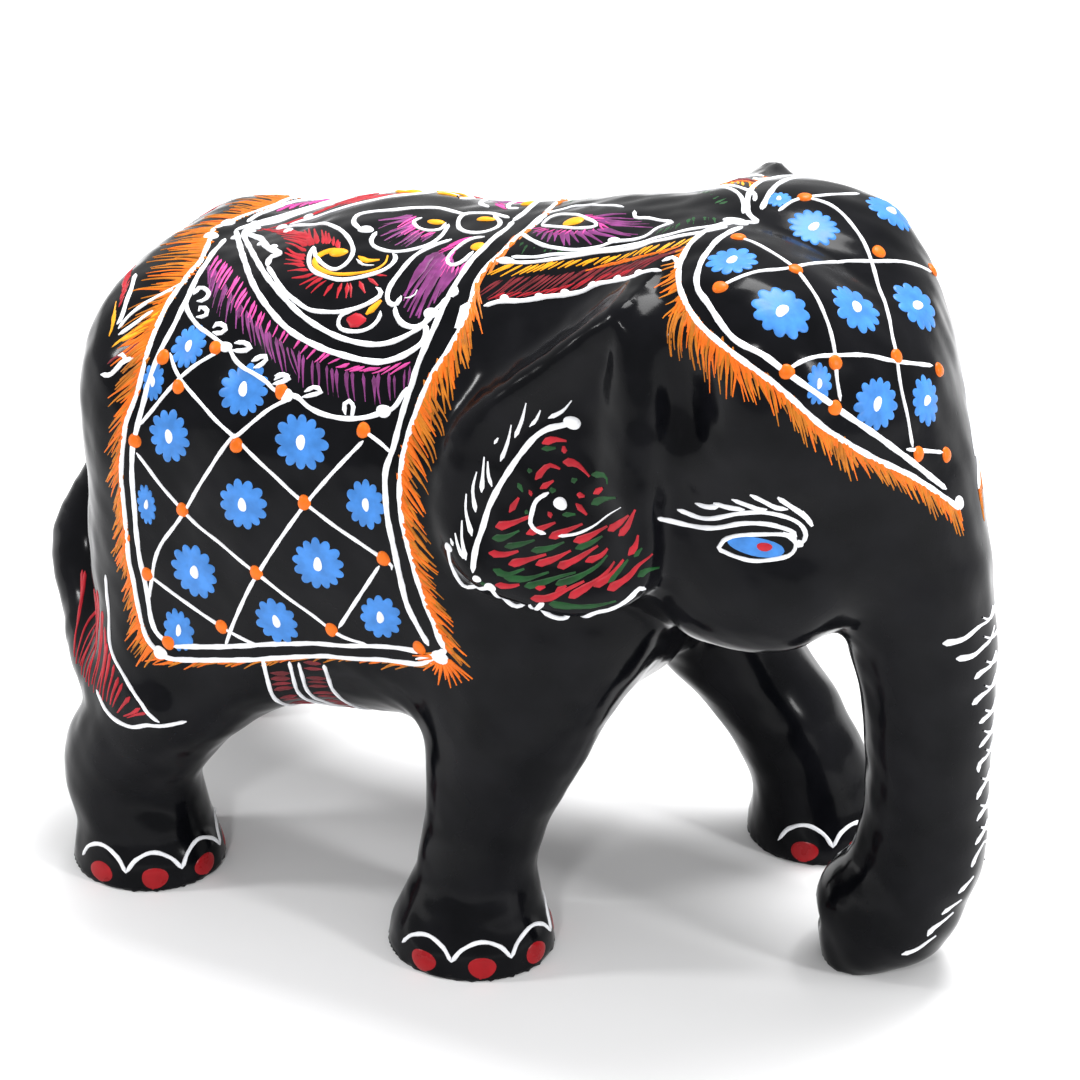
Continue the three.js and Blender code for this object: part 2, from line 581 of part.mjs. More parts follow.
pair("ear_outline", (m) => ribbon(m([[18.4, -24.1, 74.2], [14, -24.8, 72], [11.4, -26, 68.4], [9.2, -27.2, 64.4], [7.6, -28.6, 59], [7.4, -29.1, 55.2], [10.4, -29, 53.4], [15, -28.8, 52.8], [20.4, -28.4, 53], [25.6, -28.2, 55.2]]), 1.3, { step: 3.4 }), WHITE);
const EAR_A = [[18.6, -25, 72.2], [15, -25.6, 70.2], [12.6, -26.6, 66.2], [10.8, -27.6, 61.6], [10.2, -28.2, 57.4]];
const EAR_B = [[23.4, -26, 70.6], [24, -26.2, 67.6], [24.4, -26.8, 64], [24.4, -27.2, 60.4], [23.6, -27.6, 57.2]];
pair("ear_paint", (m) => band(m(EAR_A), m(EAR_B), 2), CRIMSON);

// ------------------------------------------------------- feet and tail
// Scalloped line above the toes and five nails round the front of each foot.
const FEET = { hind_right: [-41.3, -FOOT_Y - 1.4, 9.5, -1], fore_right: [3.6, -FOOT_Y - 1.6, 10.0, -1], fore_left: [32, FOOT_Y, 9.2, 1], hind_left: [-53, FOOT_Y, 9.3, 1] };
for (const [foot, [fx, fy, r, side]] of Object.entries(FEET)) {
  const on = (deg, z) => [fx + r * Math.cos((deg * Math.PI) / 180), fy + side * r * Math.sin((deg * Math.PI) / 180), z];
  const ends = [-103, ...NAIL_AT.slice(1).map((v, i) => (v + NAIL_AT[i]) / 2), 124],
    arc = [];
  for (let i = 0; i < NAIL_AT.length; i++) for (let k = 0; k < 4; k++) arc.push(on(ends[i] + ((ends[i + 1] - ends[i]) * k) / 4, 2.7 + 2.8 * Math.sin((Math.PI * k) / 4) ** 0.6));
  arc.push(on(124, 2.7));
  piece("toe_line_" + foot, ribbon(arc, 0.9, { step: 1.9 }), WHITE);
  NAIL_AT.forEach((a, i) => piece("toenail_" + foot + "_" + (i + 1), spot(on(a, 1.95), 1.75, 1.15, [-Math.sin((a * Math.PI) / 180), side * Math.cos((a * Math.PI) / 180), 0], 8), CRIMSON));
}
pair("trunk_strokes", (m) => ribbon(m([[59.6, -9.2, 47], [61, -7, 41], [61.4, -6.2, 33], [61.4, -6, 25], [61.2, -6, 17], [60.2, -6.8, 11.5], [57.8, -8, 7]]), 2.4, { step: 4.5 }), WHITE);
piece("tail_tuft", ribbon([[-58.6, -8.6, 38.4], [-60, -12, 31], [-57.2, -17.6, 25.6], [-51.6, -22.6, 23], [-44.6, -27.4, 22.6], [-37.6, -29.2, 24.6]], 3.2, { step: 3.6 }), CRIMSON);

export default elephant;
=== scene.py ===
# Carved and lacquered walking elephant with raised hand painting.
import bpy, math
import numpy as np
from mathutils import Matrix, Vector


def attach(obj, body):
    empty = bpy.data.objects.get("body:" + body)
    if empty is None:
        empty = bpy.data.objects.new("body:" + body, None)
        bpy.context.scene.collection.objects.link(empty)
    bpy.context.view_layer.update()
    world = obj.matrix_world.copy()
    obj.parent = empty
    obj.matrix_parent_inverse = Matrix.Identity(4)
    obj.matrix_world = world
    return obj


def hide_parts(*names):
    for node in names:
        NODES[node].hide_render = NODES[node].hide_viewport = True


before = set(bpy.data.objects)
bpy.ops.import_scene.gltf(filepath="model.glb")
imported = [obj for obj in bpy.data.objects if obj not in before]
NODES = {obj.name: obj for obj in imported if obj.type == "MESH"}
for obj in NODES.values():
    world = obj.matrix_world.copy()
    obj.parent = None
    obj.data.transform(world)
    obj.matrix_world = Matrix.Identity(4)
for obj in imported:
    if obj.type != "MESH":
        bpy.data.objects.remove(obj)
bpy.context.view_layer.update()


STEP = 0.62          # mm, facet size of the carved body
CENTRE = np.array([0.45, -1.023, 0.0])  # mm, middle of the figure in the carving frame
MM = 0.001
rng = np.random.default_rng(611)

# ------------------------------------------------------------ carved shape (mm)
def smin(a, b, k):
    h = np.maximum(k - np.abs(a - b), 0) / k
    return np.minimum(a, b) - h * h * k * 0.25


def smax(a, b, k):
    return -smin(-a, -b, k)


def rotm(rx=0, ry=0, rz=0):
    rx, ry, rz = np.radians([rx, ry, rz])
    Rx = np.array([[1, 0, 0], [0, np.cos(rx), -np.sin(rx)], [0, np.sin(rx), np.cos(rx)]])
    Ry = np.array([[np.cos(ry), 0, np.sin(ry)], [0, 1, 0], [-np.sin(ry), 0, np.cos(ry)]])
    Rz = np.array([[np.cos(rz), -np.sin(rz), 0], [np.sin(rz), np.cos(rz), 0], [0, 0, 1]])
    return Rz @ Ry @ Rx


def pchip(xs,ys):
    """monotone cubic (same formula everywhere)"""
    xs=[float(v) for v in xs]; ys=[float(v) for v in ys]; n=len(xs)
    d=[(ys[i+1]-ys[i])/(xs[i+1]-xs[i]) for i in range(n-1)]
    m=[0.0]*n
    for i in range(1,n-1):
        if d[i-1]*d[i]<=0: m[i]=0.0
        else:
            h0=xs[i]-xs[i-1]; h1=xs[i+1]-xs[i]; w1=2*h1+h0; w2=h1+2*h0
            m[i]=(w1+w2)/(w1/d[i-1]+w2/d[i])
    m[0]=d[0]; m[-1]=d[-1]
    T=np.linspace(xs[0],xs[-1],1025)
    V=np.empty_like(T); j=0
    for k,t in enumerate(T):
        while j<n-2 and t>xs[j+1]: j+=1
        h=xs[j+1]-xs[j]; s=(t-xs[j])/h
        V[k]=ys[j]*(1+2*s)*(1-s)**2+ys[j+1]*s*s*(3-2*s)+h*m[j]*s*(1-s)**2-h*m[j+1]*s*s*(1-s)
    return lambda t: np.interp(t,T,V)

def sel(x,y,z,c,r,n=2.0,R=None):
    px=x-c[0];py=y-c[1];pz=z-c[2]
    if R is not None:
        px,py,pz=(R[0,0]*px+R[1,0]*py+R[2,0]*pz, R[0,1]*px+R[1,1]*py+R[2,1]*pz, R[0,2]*px+R[1,2]*py+R[2,2]*pz)
    a=np.abs(px)/r[0];b=np.abs(py)/r[1];c_=np.abs(pz)/r[2]
    an=a**(n-1);bn=b**(n-1);cn=c_**(n-1)
    s=np.maximum(an*a+bn*b+cn*c_,1e-9)
    k=s**(1/n)
    g=np.sqrt((an/r[0])**2+(bn/r[1])**2+(cn/r[2])**2)*k**(1-n)
    return (k-1)/np.maximum(g,1e-4)
def cap(x,y,z,a,b,ra,rb):
    dx,dy,dz=b[0]-a[0],b[1]-a[1],b[2]-a[2]
    L=dx*dx+dy*dy+dz*dz
    t=np.clip(((x-a[0])*dx+(y-a[1])*dy+(z-a[2])*dz)/L,0,1)
    return np.sqrt((x-a[0]-t*dx)**2+(y-a[1]-t*dy)**2+(z-a[2]-t*dz)**2)-(ra+(rb-ra)*t)
def poly2(px,pz,V):
    """signed distance to a closed polygon in the XZ plane"""
    d=np.full(px.shape,1e9); s=np.ones(px.shape)
    n=len(V)
    for i in range(n):
        j=i-1
        ex=V[j][0]-V[i][0]; ez=V[j][1]-V[i][1]
        wx=px-V[i][0]; wz=pz-V[i][1]
        t=np.clip((wx*ex+wz*ez)/(ex*ex+ez*ez),0,1)
        bx=wx-ex*t; bz=wz-ez*t
        d=np.minimum(d,bx*bx+bz*bz)
        c1=pz>=V[i][1]; c2=pz<V[j][1]; c3=ex*wz>ez*wx
        fl=(c1&c2&c3)|(~c1&~c2&~c3)
        s=np.where(fl,-s,s)
    return s*np.sqrt(d)
def catmull(P,n):
    P=np.array(P,float); out=[]
    Q=np.vstack([2*P[0]-P[1],P,2*P[-1]-P[-2]])
    for i in range(1,len(Q)-2):
        for k in range(n):
            t=k/n
            a,b,c,d=Q[i-1],Q[i],Q[i+1],Q[i+2]
            out.append(0.5*((2*b)+(c-a)*t+(2*a-5*b+4*c-d)*t*t+(3*b-a-3*c+d)*t**3))
    out.append(P[-1]); return np.array(out)

RH=rotm(ry=24); RT=rotm(ry=-20)
LEGS=[ # z, cx, cy, rx, ry
 np.array([(0,-41.3,-21.4,9.6,9.4),(2.5,-41.3,-21.4,9.3,9.1),(6,-42.0,-21.2,8.6,8.3),(11,-43.5,-20.8,8.8,8.0),(16,-42.0,-20,9.8,9.0),(22,-38.0,-18.8,11.4,10.4),(30,-34.6,-16.6,14.4,11.4),(42,-33,-13.5,16,11.0),(56,-32,-12.5,13,9)]),
 np.array([(0,3.6,-21.6,10.3,9.8),(2.5,3.6,-21.6,9.9,9.4),(6.5,3.8,-21.3,8.3,8.0),(11,4.1,-20.8,7.3,7.1),(17,5.0,-19.5,7.7,7.5),(23,6.2,-18.8,9.0,8.6),(30,7.5,-17.5,10.8,10.0),(42,8.6,-13.5,14,11.6),(56,8.6,-12.0,12,9)]),
 np.array([(0,32,20,9.2,9.2),(2.5,32,20,8.9,8.9),(6.5,31.3,20,8.0,8.0),(12,29.2,19.6,7.9,7.7),(18,25.6,19,8.5,8.1),(25,19.6,18,9.9,8.9),(35,12.6,16,12.2,10.4),(46,9.5,13,13,11),(56,9.5,12,12,9)]),
 np.array([(0,-53,20,9.3,9.3),(2.5,-53,20,9.0,9.0),(6,-53.4,20,8.3,8.2),(12,-54,19.8,8.1,7.9),(17,-51.6,19.2,9.2,8.8),(23,-47.6,18.4,11.0,10.0),(30,-44,16.6,13,11.2),(42,-40,13.5,14,11.0),(56,-38,12.5,13,9)])]
TR=np.array([(0,46.9,-1.2,4.4,6.2),(3,48.8,-1.0,6.2,7.2),(8,51.5,-0.6,8.0,7.6),(14,53.3,-0.3,8.1,7.6),(22,54.2,0,7.7,7.4),(33,54.1,0,7.9,7.8),(43,52.7,0,8.9,9),(52,50,0,10.7,11.2),(61,45.7,0,13,14),(70,41.5,0,14.4,16.5),(79,37.1,0,14.6,17.5),(90,32,0,12,15)])
EARP=[(23.5,89.0),(17.5,84.5),(12.0,79.5),(7.0,75.0),(4.2,69.5),(3.4,63.0),(4.2,57.0),(8.5,52.6),(15.0,51.2),(22.5,52.0),(28.5,56.0),(29.5,62.0),(28.0,70.0),(27.0,80.0)]
def catloop(P,n):
    P=np.array(P,float); N=len(P); out=[]
    for i in range(N):
        a,b,c,d=P[i-1],P[i],P[(i+1)%N],P[(i+2)%N]
        for k in range(n):
            t=k/n
            out.append(0.5*((2*b)+(c-a)*t+(2*a-5*b+4*c-d)*t*t+(3*b-a-3*c+d)*t**3))
    return np.array(out)
EAR=catloop(EARP,3)
TAIL=catmull([(-50,-1.5,54,2.0),(-53.6,-4,45,3.2),(-56.6,-7.2,34.6,4.6),(-53.0,-11.5,28.2,4.6),(-48.0,-18,24.8,4.6),(-41.5,-23.3,23.8,4.2),(-35,-27,25.5,2.4)],4)
def mk(A): return [pchip(A[:,0],A[:,i]) for i in range(1,5)]
LF=[mk(A) for A in LEGS]; TF=mk(TR)
def loft(x,y,z,f,z1):
    cx,cy,rx,ry=f[0](z),f[1](z),f[2](z),f[3](z)
    k=np.sqrt(((x-cx)/rx)**2+((y-cy)/ry)**2)
    return smax((k-1)*np.minimum(rx,ry),z-z1,4)
def sstep(a,b,t):
    t=np.clip((t-a)/(b-a),0,1); return t*t*(3-2*t)

def yaw(x):
    t=x-22.0
    return 0.08*0.5*(t+np.sqrt(t*t+16.0))
def sdf(x,y,z):
    y0=y; y=y+yaw(x)
    ay=np.abs(y)
    d=sel(x+0.11*(z-54),y,z,(-32.3,0,50.4),(19.4,26.5,26.5),3.15)
    d=smin(d,sel(x,y,z,(-12,0,52.5),(28,28,31),2.35),7)
    d=smin(d,sel(x,y,z,(6,0,56.3),(19,25.5,29.6),2.3),7)
    d=smin(d,sel(x,y,z,(20,0,70.5),(17,18.5,20),2.3),8)
    d=smin(d,sel(x,y,z,(13,0,47),(11,13,17.2),2.2),5)
    hd=sel(x,y,z,(30.5,0,67.5),(18.3,21.6,23),2.6,RH)
    hd=smin(hd,sel(x,ay,z,(33.2,11.2,78.8),(12.2,10.9,12.6),2.5),6)
    hd=smin(hd,sel(x,ay,z,(36,13,55),(12.5,9,9.5),2.0),7)
    hd=smax(hd,-sel(x,ay,z,(30.5,27,79.5),(6.5,6.5,7.5),2.0),3)   # temple hollow
    d=smin(d,hd,6)
    # ear flap
    d2=poly2(x,z,EAR)
    yf=29.2-0.17*np.maximum(z-57,0)-0.004*np.maximum(57-z,0)**2-0.02*(x-14)**2*0.12
    scoop=sstep(-1.2,-6.5,d2)*(1.0+1.6*sstep(60,80,z))
    e=smax(d2,ay-(yf-scoop),2.6)
    d=smin(d,e,4)
    # ear root ridge
    d=smin(d,cap(x,ay,z,(24.6,19.5,84),(25.0,23.0,68),3.2,3.0),3)
    t=loft(x,y,z,TF,84)
    t=smin(t,sel(x,y,z,(49.8,-0.8,6.9),(8.6,7.6,7.4),2.35,RT),2.5)
    t=smax(t,-cap(x,y,z,(41.9,-9,5.6),(41.9,9,5.6),1.5,1.5),0.8)  # lip groove at the tip
    d=smin(d,t,6)
    for f in LF: d=smin(d,loft(x,y0,z,f,46),6)
    tl=None
    for a,b in zip(TAIL[:-1],TAIL[1:]):
        c=cap(x,y0,z,a[:3],b[:3],a[3],b[3]); tl=c if tl is None else np.minimum(tl,c)
    d=smin(d,tl,1.6)
    d=np.maximum(d,-z)
    return d




def wood(P):
    return sdf(P[:, 0], P[:, 1], P[:, 2])


TET = np.array([[1, -1, -1], [-1, -1, 1], [-1, 1, -1], [1, 1, 1]], float)


def slope(P, h=0.04):
    g = np.zeros_like(P)
    for t in TET:
        g += t * wood(P + t * h)[:, None]
    g /= 4 * h
    l = np.maximum(np.linalg.norm(g, axis=1), 1e-6)
    return g / l[:, None], l


def land(P, rounds=3, most=2.5):
    """points moved onto the carved surface, and the surface normals there"""
    P = np.array(P, float)
    for _ in range(rounds):
        n, l = slope(P)
        P = P - n * np.clip(wood(P) / np.maximum(l, 0.4), -most, most)[:, None]
    return P, slope(P)[0]


# ------------------------------------------------------------- body surface nets
def body_mesh(h):
    lo = np.array([-66.0, -35.0, -2.5 * h])
    hi = np.array([67.0, 35.0, 97.0])
    B = 6
    n = (np.ceil((hi - lo) / h / B).astype(int)) * B + 1
    cs = B * h
    cn = (n - 1) // B
    g = [lo[k] + (np.arange(cn[k]) + 0.5) * cs for k in range(3)]
    X, Y, Z = np.meshgrid(*g, indexing="ij")
    d = sdf(X, Y, Z)
    near = np.abs(d) < cs * 1.25
    val = np.repeat(np.repeat(np.repeat(np.where(d < 0, -9.0, 9.0), B, 0), B, 1), B, 2)
    val = np.pad(val, ((0, 1), (0, 1), (0, 1)), mode="edge").astype(np.float32)
    mask = np.zeros(n, bool)
    for dx in (0, 1):
        for dy in (0, 1):
            for dz in (0, 1):
                pass
    m = np.repeat(np.repeat(np.repeat(near, B, 0), B, 1), B, 2)
    mask[: m.shape[0], : m.shape[1], : m.shape[2]] = m
    for ax in range(3):
        mask |= np.roll(mask, 1, ax)
    idx = np.argwhere(mask)
    out = np.empty(len(idx), np.float32)
    for s in range(0, len(idx), 200000):
        q = lo + idx[s : s + 200000] * h
        out[s : s + 200000] = sdf(q[:, 0], q[:, 1], q[:, 2])
    val[idx[:, 0], idx[:, 1], idx[:, 2]] = out
    inside = val < 0
    c = [inside[a : n[0] - 1 + a, b : n[1] - 1 + b, e : n[2] - 1 + e] for a in (0, 1) for b in (0, 1) for e in (0, 1)]
    tot = sum(v.astype(np.int8) for v in c)
    cell = np.argwhere((tot > 0) & (tot < 8))
    ids = -np.ones(np.array(tot.shape), np.int64)
    ids[cell[:, 0], cell[:, 1], cell[:, 2]] = np.arange(len(cell))
    cor = [(a, b, e) for a in (0, 1) for b in (0, 1) for e in (0, 1)]
    cv = {o: val[cell[:, 0] + o[0], cell[:, 1] + o[1], cell[:, 2] + o[2]].astype(float) for o in cor}
    acc = np.zeros((len(cell), 3))
    cnt = np.zeros(len(cell))
    for o in cor:
        for k in range(3):
            if o[k]:
                continue
            p = list(o)
            p[k] = 1
            p = tuple(p)
            u, w = cv[o], cv[p]
            cr = (u < 0) != (w < 0)
            t = np.where(cr, u / np.where(cr, u - w, 1), 0)
            pos = np.array(o, float) + np.outer(t, np.array(p, float) - np.array(o, float))
            acc += pos * cr[:, None]
            cnt += cr
    V = lo + (cell + acc / cnt[:, None]) * h
    quads = []
    for k in range(3):
        a1, a2 = (k + 1) % 3, (k + 2) % 3
        s0 = [slice(1, n[i] - 1) for i in range(3)]
        s1 = list(s0)
        s1[k] = slice(2, n[k])
        u, w = inside[tuple(s0)], inside[tuple(s1)]
        e = np.argwhere(u != w) + 1
        flip = ~inside[e[:, 0], e[:, 1], e[:, 2]]

        def at(d1, d2):
            r = e.copy()
            r[:, a1] -= d1
            r[:, a2] -= d2
            return ids[r[:, 0], r[:, 1], r[:, 2]]

        q = np.stack([at(1, 1), at(0, 1), at(0, 0), at(1, 0)], 1)
        q[flip] = q[flip][:, ::-1]
        quads.append(q)
    Q = np.concatenate(quads)
    # settle the vertices on the surface
    for _ in range(2):
        nn, l = slope(V)
        V = V - nn * np.clip(wood(V) / np.maximum(l, 0.5), -h, h)[:, None]
    V[:, 2] = np.maximum(V[:, 2], 0)
    return V, Q


MARKS = []
_r = np.random.default_rng(7)
for _f, _a in ((0.09, 0.10), (0.17, 0.06), (0.34, 0.028)):
    for _ in range(5):
        _k = _r.normal(size=3)
        MARKS.append((_k * _f / np.linalg.norm(_k) * 2 * np.pi * _r.uniform(0.7, 1.2), _a / 2.2, _r.uniform(0, 6.28)))


def marks(V):
    """shallow knife facets and hand-sanded waviness left under the lacquer, as a height"""
    w = np.zeros(len(V))
    for k, a, p in MARKS:
        w += a * np.sin(V @ k + p)
    return w * np.clip(V[:, 2] / 2.0, 0, 1) - 0.05


def carve_marks(V):
    n, _ = slope(V)
    return V + n * marks(V)[:, None]


# ---------------------------------------------------------------- painted relief
PAINT = {}  # colour -> [verts list, faces list, count]


def put(col, V, F):
    s = PAINT.setdefault(col, [[], [], 0])
    s[0].append(V)
    s[1].append(F + s[2])
    s[2] += len(V)


class Strokes:
    """collects brush strokes and lays them all on the wood in one go"""

    def __init__(self):
        self.rows = []

    def add(self, col, P, w, h, taper=0, ends=1):
        P = np.array(P, float)
        if len(P) < 2:
            return
        L = np.linalg.norm(np.diff(P, axis=0), axis=1).sum()
        if L < 0.05:
            return
        n = max(4, int(round(L / 0.55)))
        P = smooth(P, n)
        t = np.linspace(0, 1, len(P))
        if taper == 0:
            e = min(0.5, w * 0.5 / max(L, 0.1))
            k = np.sqrt(np.clip(1 - (np.clip(1 - t / e, 0, 1)) ** 2, 0, 1)) * np.sqrt(np.clip(1 - (np.clip(1 - (1 - t) / e, 0, 1)) ** 2, 0, 1))
            k = np.maximum(k, 0.25)
        elif taper == 1:  # loaded brush set down, then drawn out
            e = min(0.4, w * 0.55 / max(L, 0.1))
            k = np.sqrt(np.clip(1 - (np.clip(1 - t / e, 0, 1)) ** 2, 0, 1)) * (1 - 0.78 * t ** 0.8)
            k = np.maximum(k, 0.16)
        else:
            k = np.maximum(np.sin(np.pi * np.clip(t, 0.02, 0.98)) ** 0.6, 0.15)
        wob = 1 + 0.10 * np.sin(t * L * 1.7 + rng.uniform(0, 6)) + 0.05 * np.sin(t * L * 4.1 + rng.uniform(0, 6))
        self.rows.append((col, P, w * k * wob, h * (0.55 + 0.45 * k) * (1 + 0.12 * np.sin(t * L * 1.1 + rng.uniform(0, 6)))))

    def flush(self):
        if not self.rows:
            return
        U = np.array([-1, -0.82, -0.45, 0, 0.45, 0.82, 1])
        C = np.concatenate([r[1] for r in self.rows])
        C, N = land(C, 3)
        T = []
        i = 0
        for r in self.rows:
            m = len(r[1])
            T.append(np.gradient(C[i : i + m], axis=0))
            i += m
        T = np.concatenate(T)
        S = np.cross(N, T)
        S /= np.maximum(np.linalg.norm(S, axis=1), 1e-9)[:, None]
        w = np.concatenate([r[2] for r in self.rows]) / 2
        h = np.concatenate([r[3] for r in self.rows])
        P = C[:, None, :] + S[:, None, :] * (U[None, :, None] * w[:, None, None])
        sh = P.shape
        Q, NN = land(P.reshape(-1, 3), 2, 0.6)
        prof = np.sqrt(np.clip(1 - U ** 2, 0, 1)) ** 0.8
        lift = h[:, None] * prof[None, :] - 0.06
        lift = lift + marks(Q).reshape(sh[:2])
        Q = Q.reshape(sh) + NN.reshape(sh) * lift[..., None]
        K = len(U)
        i = 0
        for r in self.rows:
            m = len(r[1])
            V = Q[i : i + m].reshape(-1, 3)
            a = (np.arange(m - 1)[:, None] * K + np.arange(K - 1)[None, :]).ravel()
            F = np.stack([a, a + 1, a + K + 1, a + K], 1)
            put(r[0], V, F)
            i += m
        self.rows = []


def smooth(P, n):
    """even points on a curve through the given ones"""
    P = np.asarray(P, float)
    if len(P) == 2:
        t = np.linspace(0, 1, n)[:, None]
        return P[0] * (1 - t) + P[1] * t
    Q = catmull(P, 8)
    s = np.concatenate([[0], np.cumsum(np.linalg.norm(np.diff(Q, axis=0), axis=1))])
    t = np.linspace(0, s[-1], n)
    return np.stack([np.interp(t, s, Q[:, k]) for k in range(3)], 1)


class Domes:
    """dots, ovals and flowers: low domes on an outline"""

    def __init__(self):
        self.rows = []

    def add(self, col, c, along, outline, h, rings=(0, 0.35, 0.68, 0.88, 1.0), prof=(1, 0.97, 0.8, 0.5, 0)):
        self.rows.append((col, np.array(c, float), np.array(along, float), outline, h, rings, prof))

    def flush(self):
        if not self.rows:
            return
        C, N = land(np.array([r[1] for r in self.rows]), 3)
        P = []
        for (col, c, along, out, h, rings, prof), q, n in zip(self.rows, C, N):
            u = along - n * (along @ n)
            u /= np.linalg.norm(u)
            v = np.cross(n, u)
            pts = [q]
            for k in rings[1:]:
                pts.extend(q + (out[:, :1] * u + out[:, 1:] * v) * k)
            P.append(np.array(pts))
        A = np.concatenate(P)
        Q, NN = land(A, 3, 1.5)
        W_ = marks(Q)
        i = 0
        for (col, c, along, out, h, rings, prof), p in zip(self.rows, P):
            m = len(out)
            lift = np.concatenate([[prof[0]], np.repeat(prof[1:], m)]) * h - 0.05
            V = Q[i : i + len(p)] + NN[i : i + len(p)] * (lift + W_[i : i + len(p)])[:, None]
            j = np.arange(m)
            k = (j + 1) % m
            F3 = [np.stack([np.zeros(m, int), 1 + j, 1 + k, 1 + k], 1)]
            for r in range(len(rings) - 2):
                a = 1 + r * m
                F3.append(np.stack([a + j, a + m + j, a + m + k, a + k], 1))
            put(col, V, np.concatenate(F3))
            i += len(p)
        self.rows = []


def oval(rx, ry, ang=0, n=18, wob=0.04):
    t = np.arange(n) / n * 2 * np.pi
    r = 1 + wob * np.sin(2 * t + rng.uniform(0, 6)) + wob * np.sin(3 * t + rng.uniform(0, 6))
    x, y = rx * np.cos(t) * r, ry * np.sin(t) * r
    c, s = math.cos(ang), math.sin(ang)
    return np.stack([c * x - s * y, s * x + c * y], 1)


def petals(r, rot, sq, n=12):
    """scalloped outline of a daisy"""
    m = n * 9
    t = np.arange(m) / m * 2 * np.pi
    ph = (t + rot) * n / (2 * np.pi)
    f = ph - np.floor(ph)
    k = np.abs(np.sin(np.pi * f)) ** 0.55
    a = rng.uniform(0.86, 1.10, n)
    lobe = a[(np.floor(ph).astype(int)) % n]
    rr = r * (0.70 + 0.30 * k * lobe) * (0.97 + 0.05 * np.sin(2 * t + rot * 3))
    return np.stack([rr * np.cos(t) * sq, rr * np.sin(t)], 1)


def flip(P):
    """the same place on the other side of the figure"""
    P = np.array(P, float)
    Q = P.copy()
    Q[:, 1] = -P[:, 1] - 2 * yaw(P[:, 0])
    return Q


def clip_half(P):
    """keeps the part of a line on the right-hand half, up to the middle"""
    P = np.array(P, float)
    s = P[:, 1] + yaw(P[:, 0])
    out = []
    for i in range(len(P)):
        if s[i] <= 0:
            out.append(P[i])
        if i + 1 < len(P) and (s[i] <= 0) != (s[i + 1] <= 0):
            t = s[i] / (s[i] - s[i + 1])
            out.append(P[i] + (P[i + 1] - P[i]) * t)
    return np.array(out)


ST, DM = Strokes(), Domes()


def both(m):
    return (False, True) if m else (False,)


def line(col, w, h, taper, m, P):
    P = np.array(P, float).reshape(-1, 3)
    if m:
        P = clip_half(P)
    if len(P) < 2:
        return
    for f in both(m):
        ST.add(col, flip(P) if f else P, w, h, taper)


def hatch(col, n, w, h, j, m, A, B, taper=1):
    A = np.array(A, float).reshape(-1, 3)
    B = np.array(B, float).reshape(-1, 3)
    if len(A) < 2 or len(B) < 2:
        return
    for f in both(m):
        a, b = smooth(A, 60), smooth(B, 60)
        if f:
            a, b = flip(a), flip(b)
        for i in range(n):
            t = (i + 0.5 + rng.uniform(-0.3, 0.3)) / n
            k = min(59, max(0, int(t * 59)))
            p, q = a[k], b[k]
            s0, s1 = rng.uniform(-0.08, 0.12) * j, rng.uniform(-0.18, 0.08) * j
            p, q = p + (q - p) * s0, q + (q - p) * s1
            mid = (p + q) / 2 + rng.normal(size=3) * 0.10 * np.linalg.norm(q - p) * j * 0.5
            ST.add(col, [q, mid, p], w * rng.uniform(0.75, 1.2), h * rng.uniform(0.7, 1.2), taper)


def dot(col, rx, ry, h, a, m, c, along=(1, 0, 0)):
    for f in both(m):
        p = flip(np.array([c]))[0] if f else np.array(c, float)
        DM.add(col, p, along, oval(rx, ry, a), h)


def flower(r, rot, sq, m, c):
    for f in both(m):
        p = flip(np.array([c]))[0] if f else np.array(c, float)
        DM.add("B", p, (1, 0, 0), petals(r * 1.03, rot, sq, int(rng.integers(11, 14))), 0.15, rings=(0, 0.3, 0.6, 0.85, 0.95, 1.0), prof=(0.9, 1, 1, 0.95, 0.7, 0))
        DM.add("W", p, (1, 0, 0), oval(0.62 * max(sq, 0.6) * r / 3.3, 0.95 * r / 3.3, rng.uniform(-0.3, 0.3), 16, 0.06), 0.42)


def fringe(col, P, n, length, w, h, lean, m=1, spread=0.25):
    """short strokes hanging off a line; lean is the direction they are drawn in"""
    P = smooth(np.array(P, float), 240)
    for f in both(m):
        Q = flip(P) if f else P
        d = np.array(lean, float) * np.array([1, -1 if f else 1, 1])
        d /= np.linalg.norm(d)
        for i in range(n):
            t = (i + 0.5 + rng.uniform(-0.45, 0.45)) / n
            k = int(np.clip(t * 239, 0, 239))
            L = length * rng.uniform(0.62, 1.18)
            e = d + rng.normal(size=3) * spread * 0.4
            e /= np.linalg.norm(e)
            a = Q[k] - d * 0.15 * L * rng.uniform(0, 1)
            b = a + e * L
            mid = (a + b) / 2 + rng.normal(size=3) * 0.12
            c = col if not isinstance(col, (list, tuple)) else col[int(rng.integers(len(col)))]
            ST.add(c, [a, mid, b], w * rng.uniform(0.75, 1.25), h * rng.uniform(0.7, 1.2), 1)


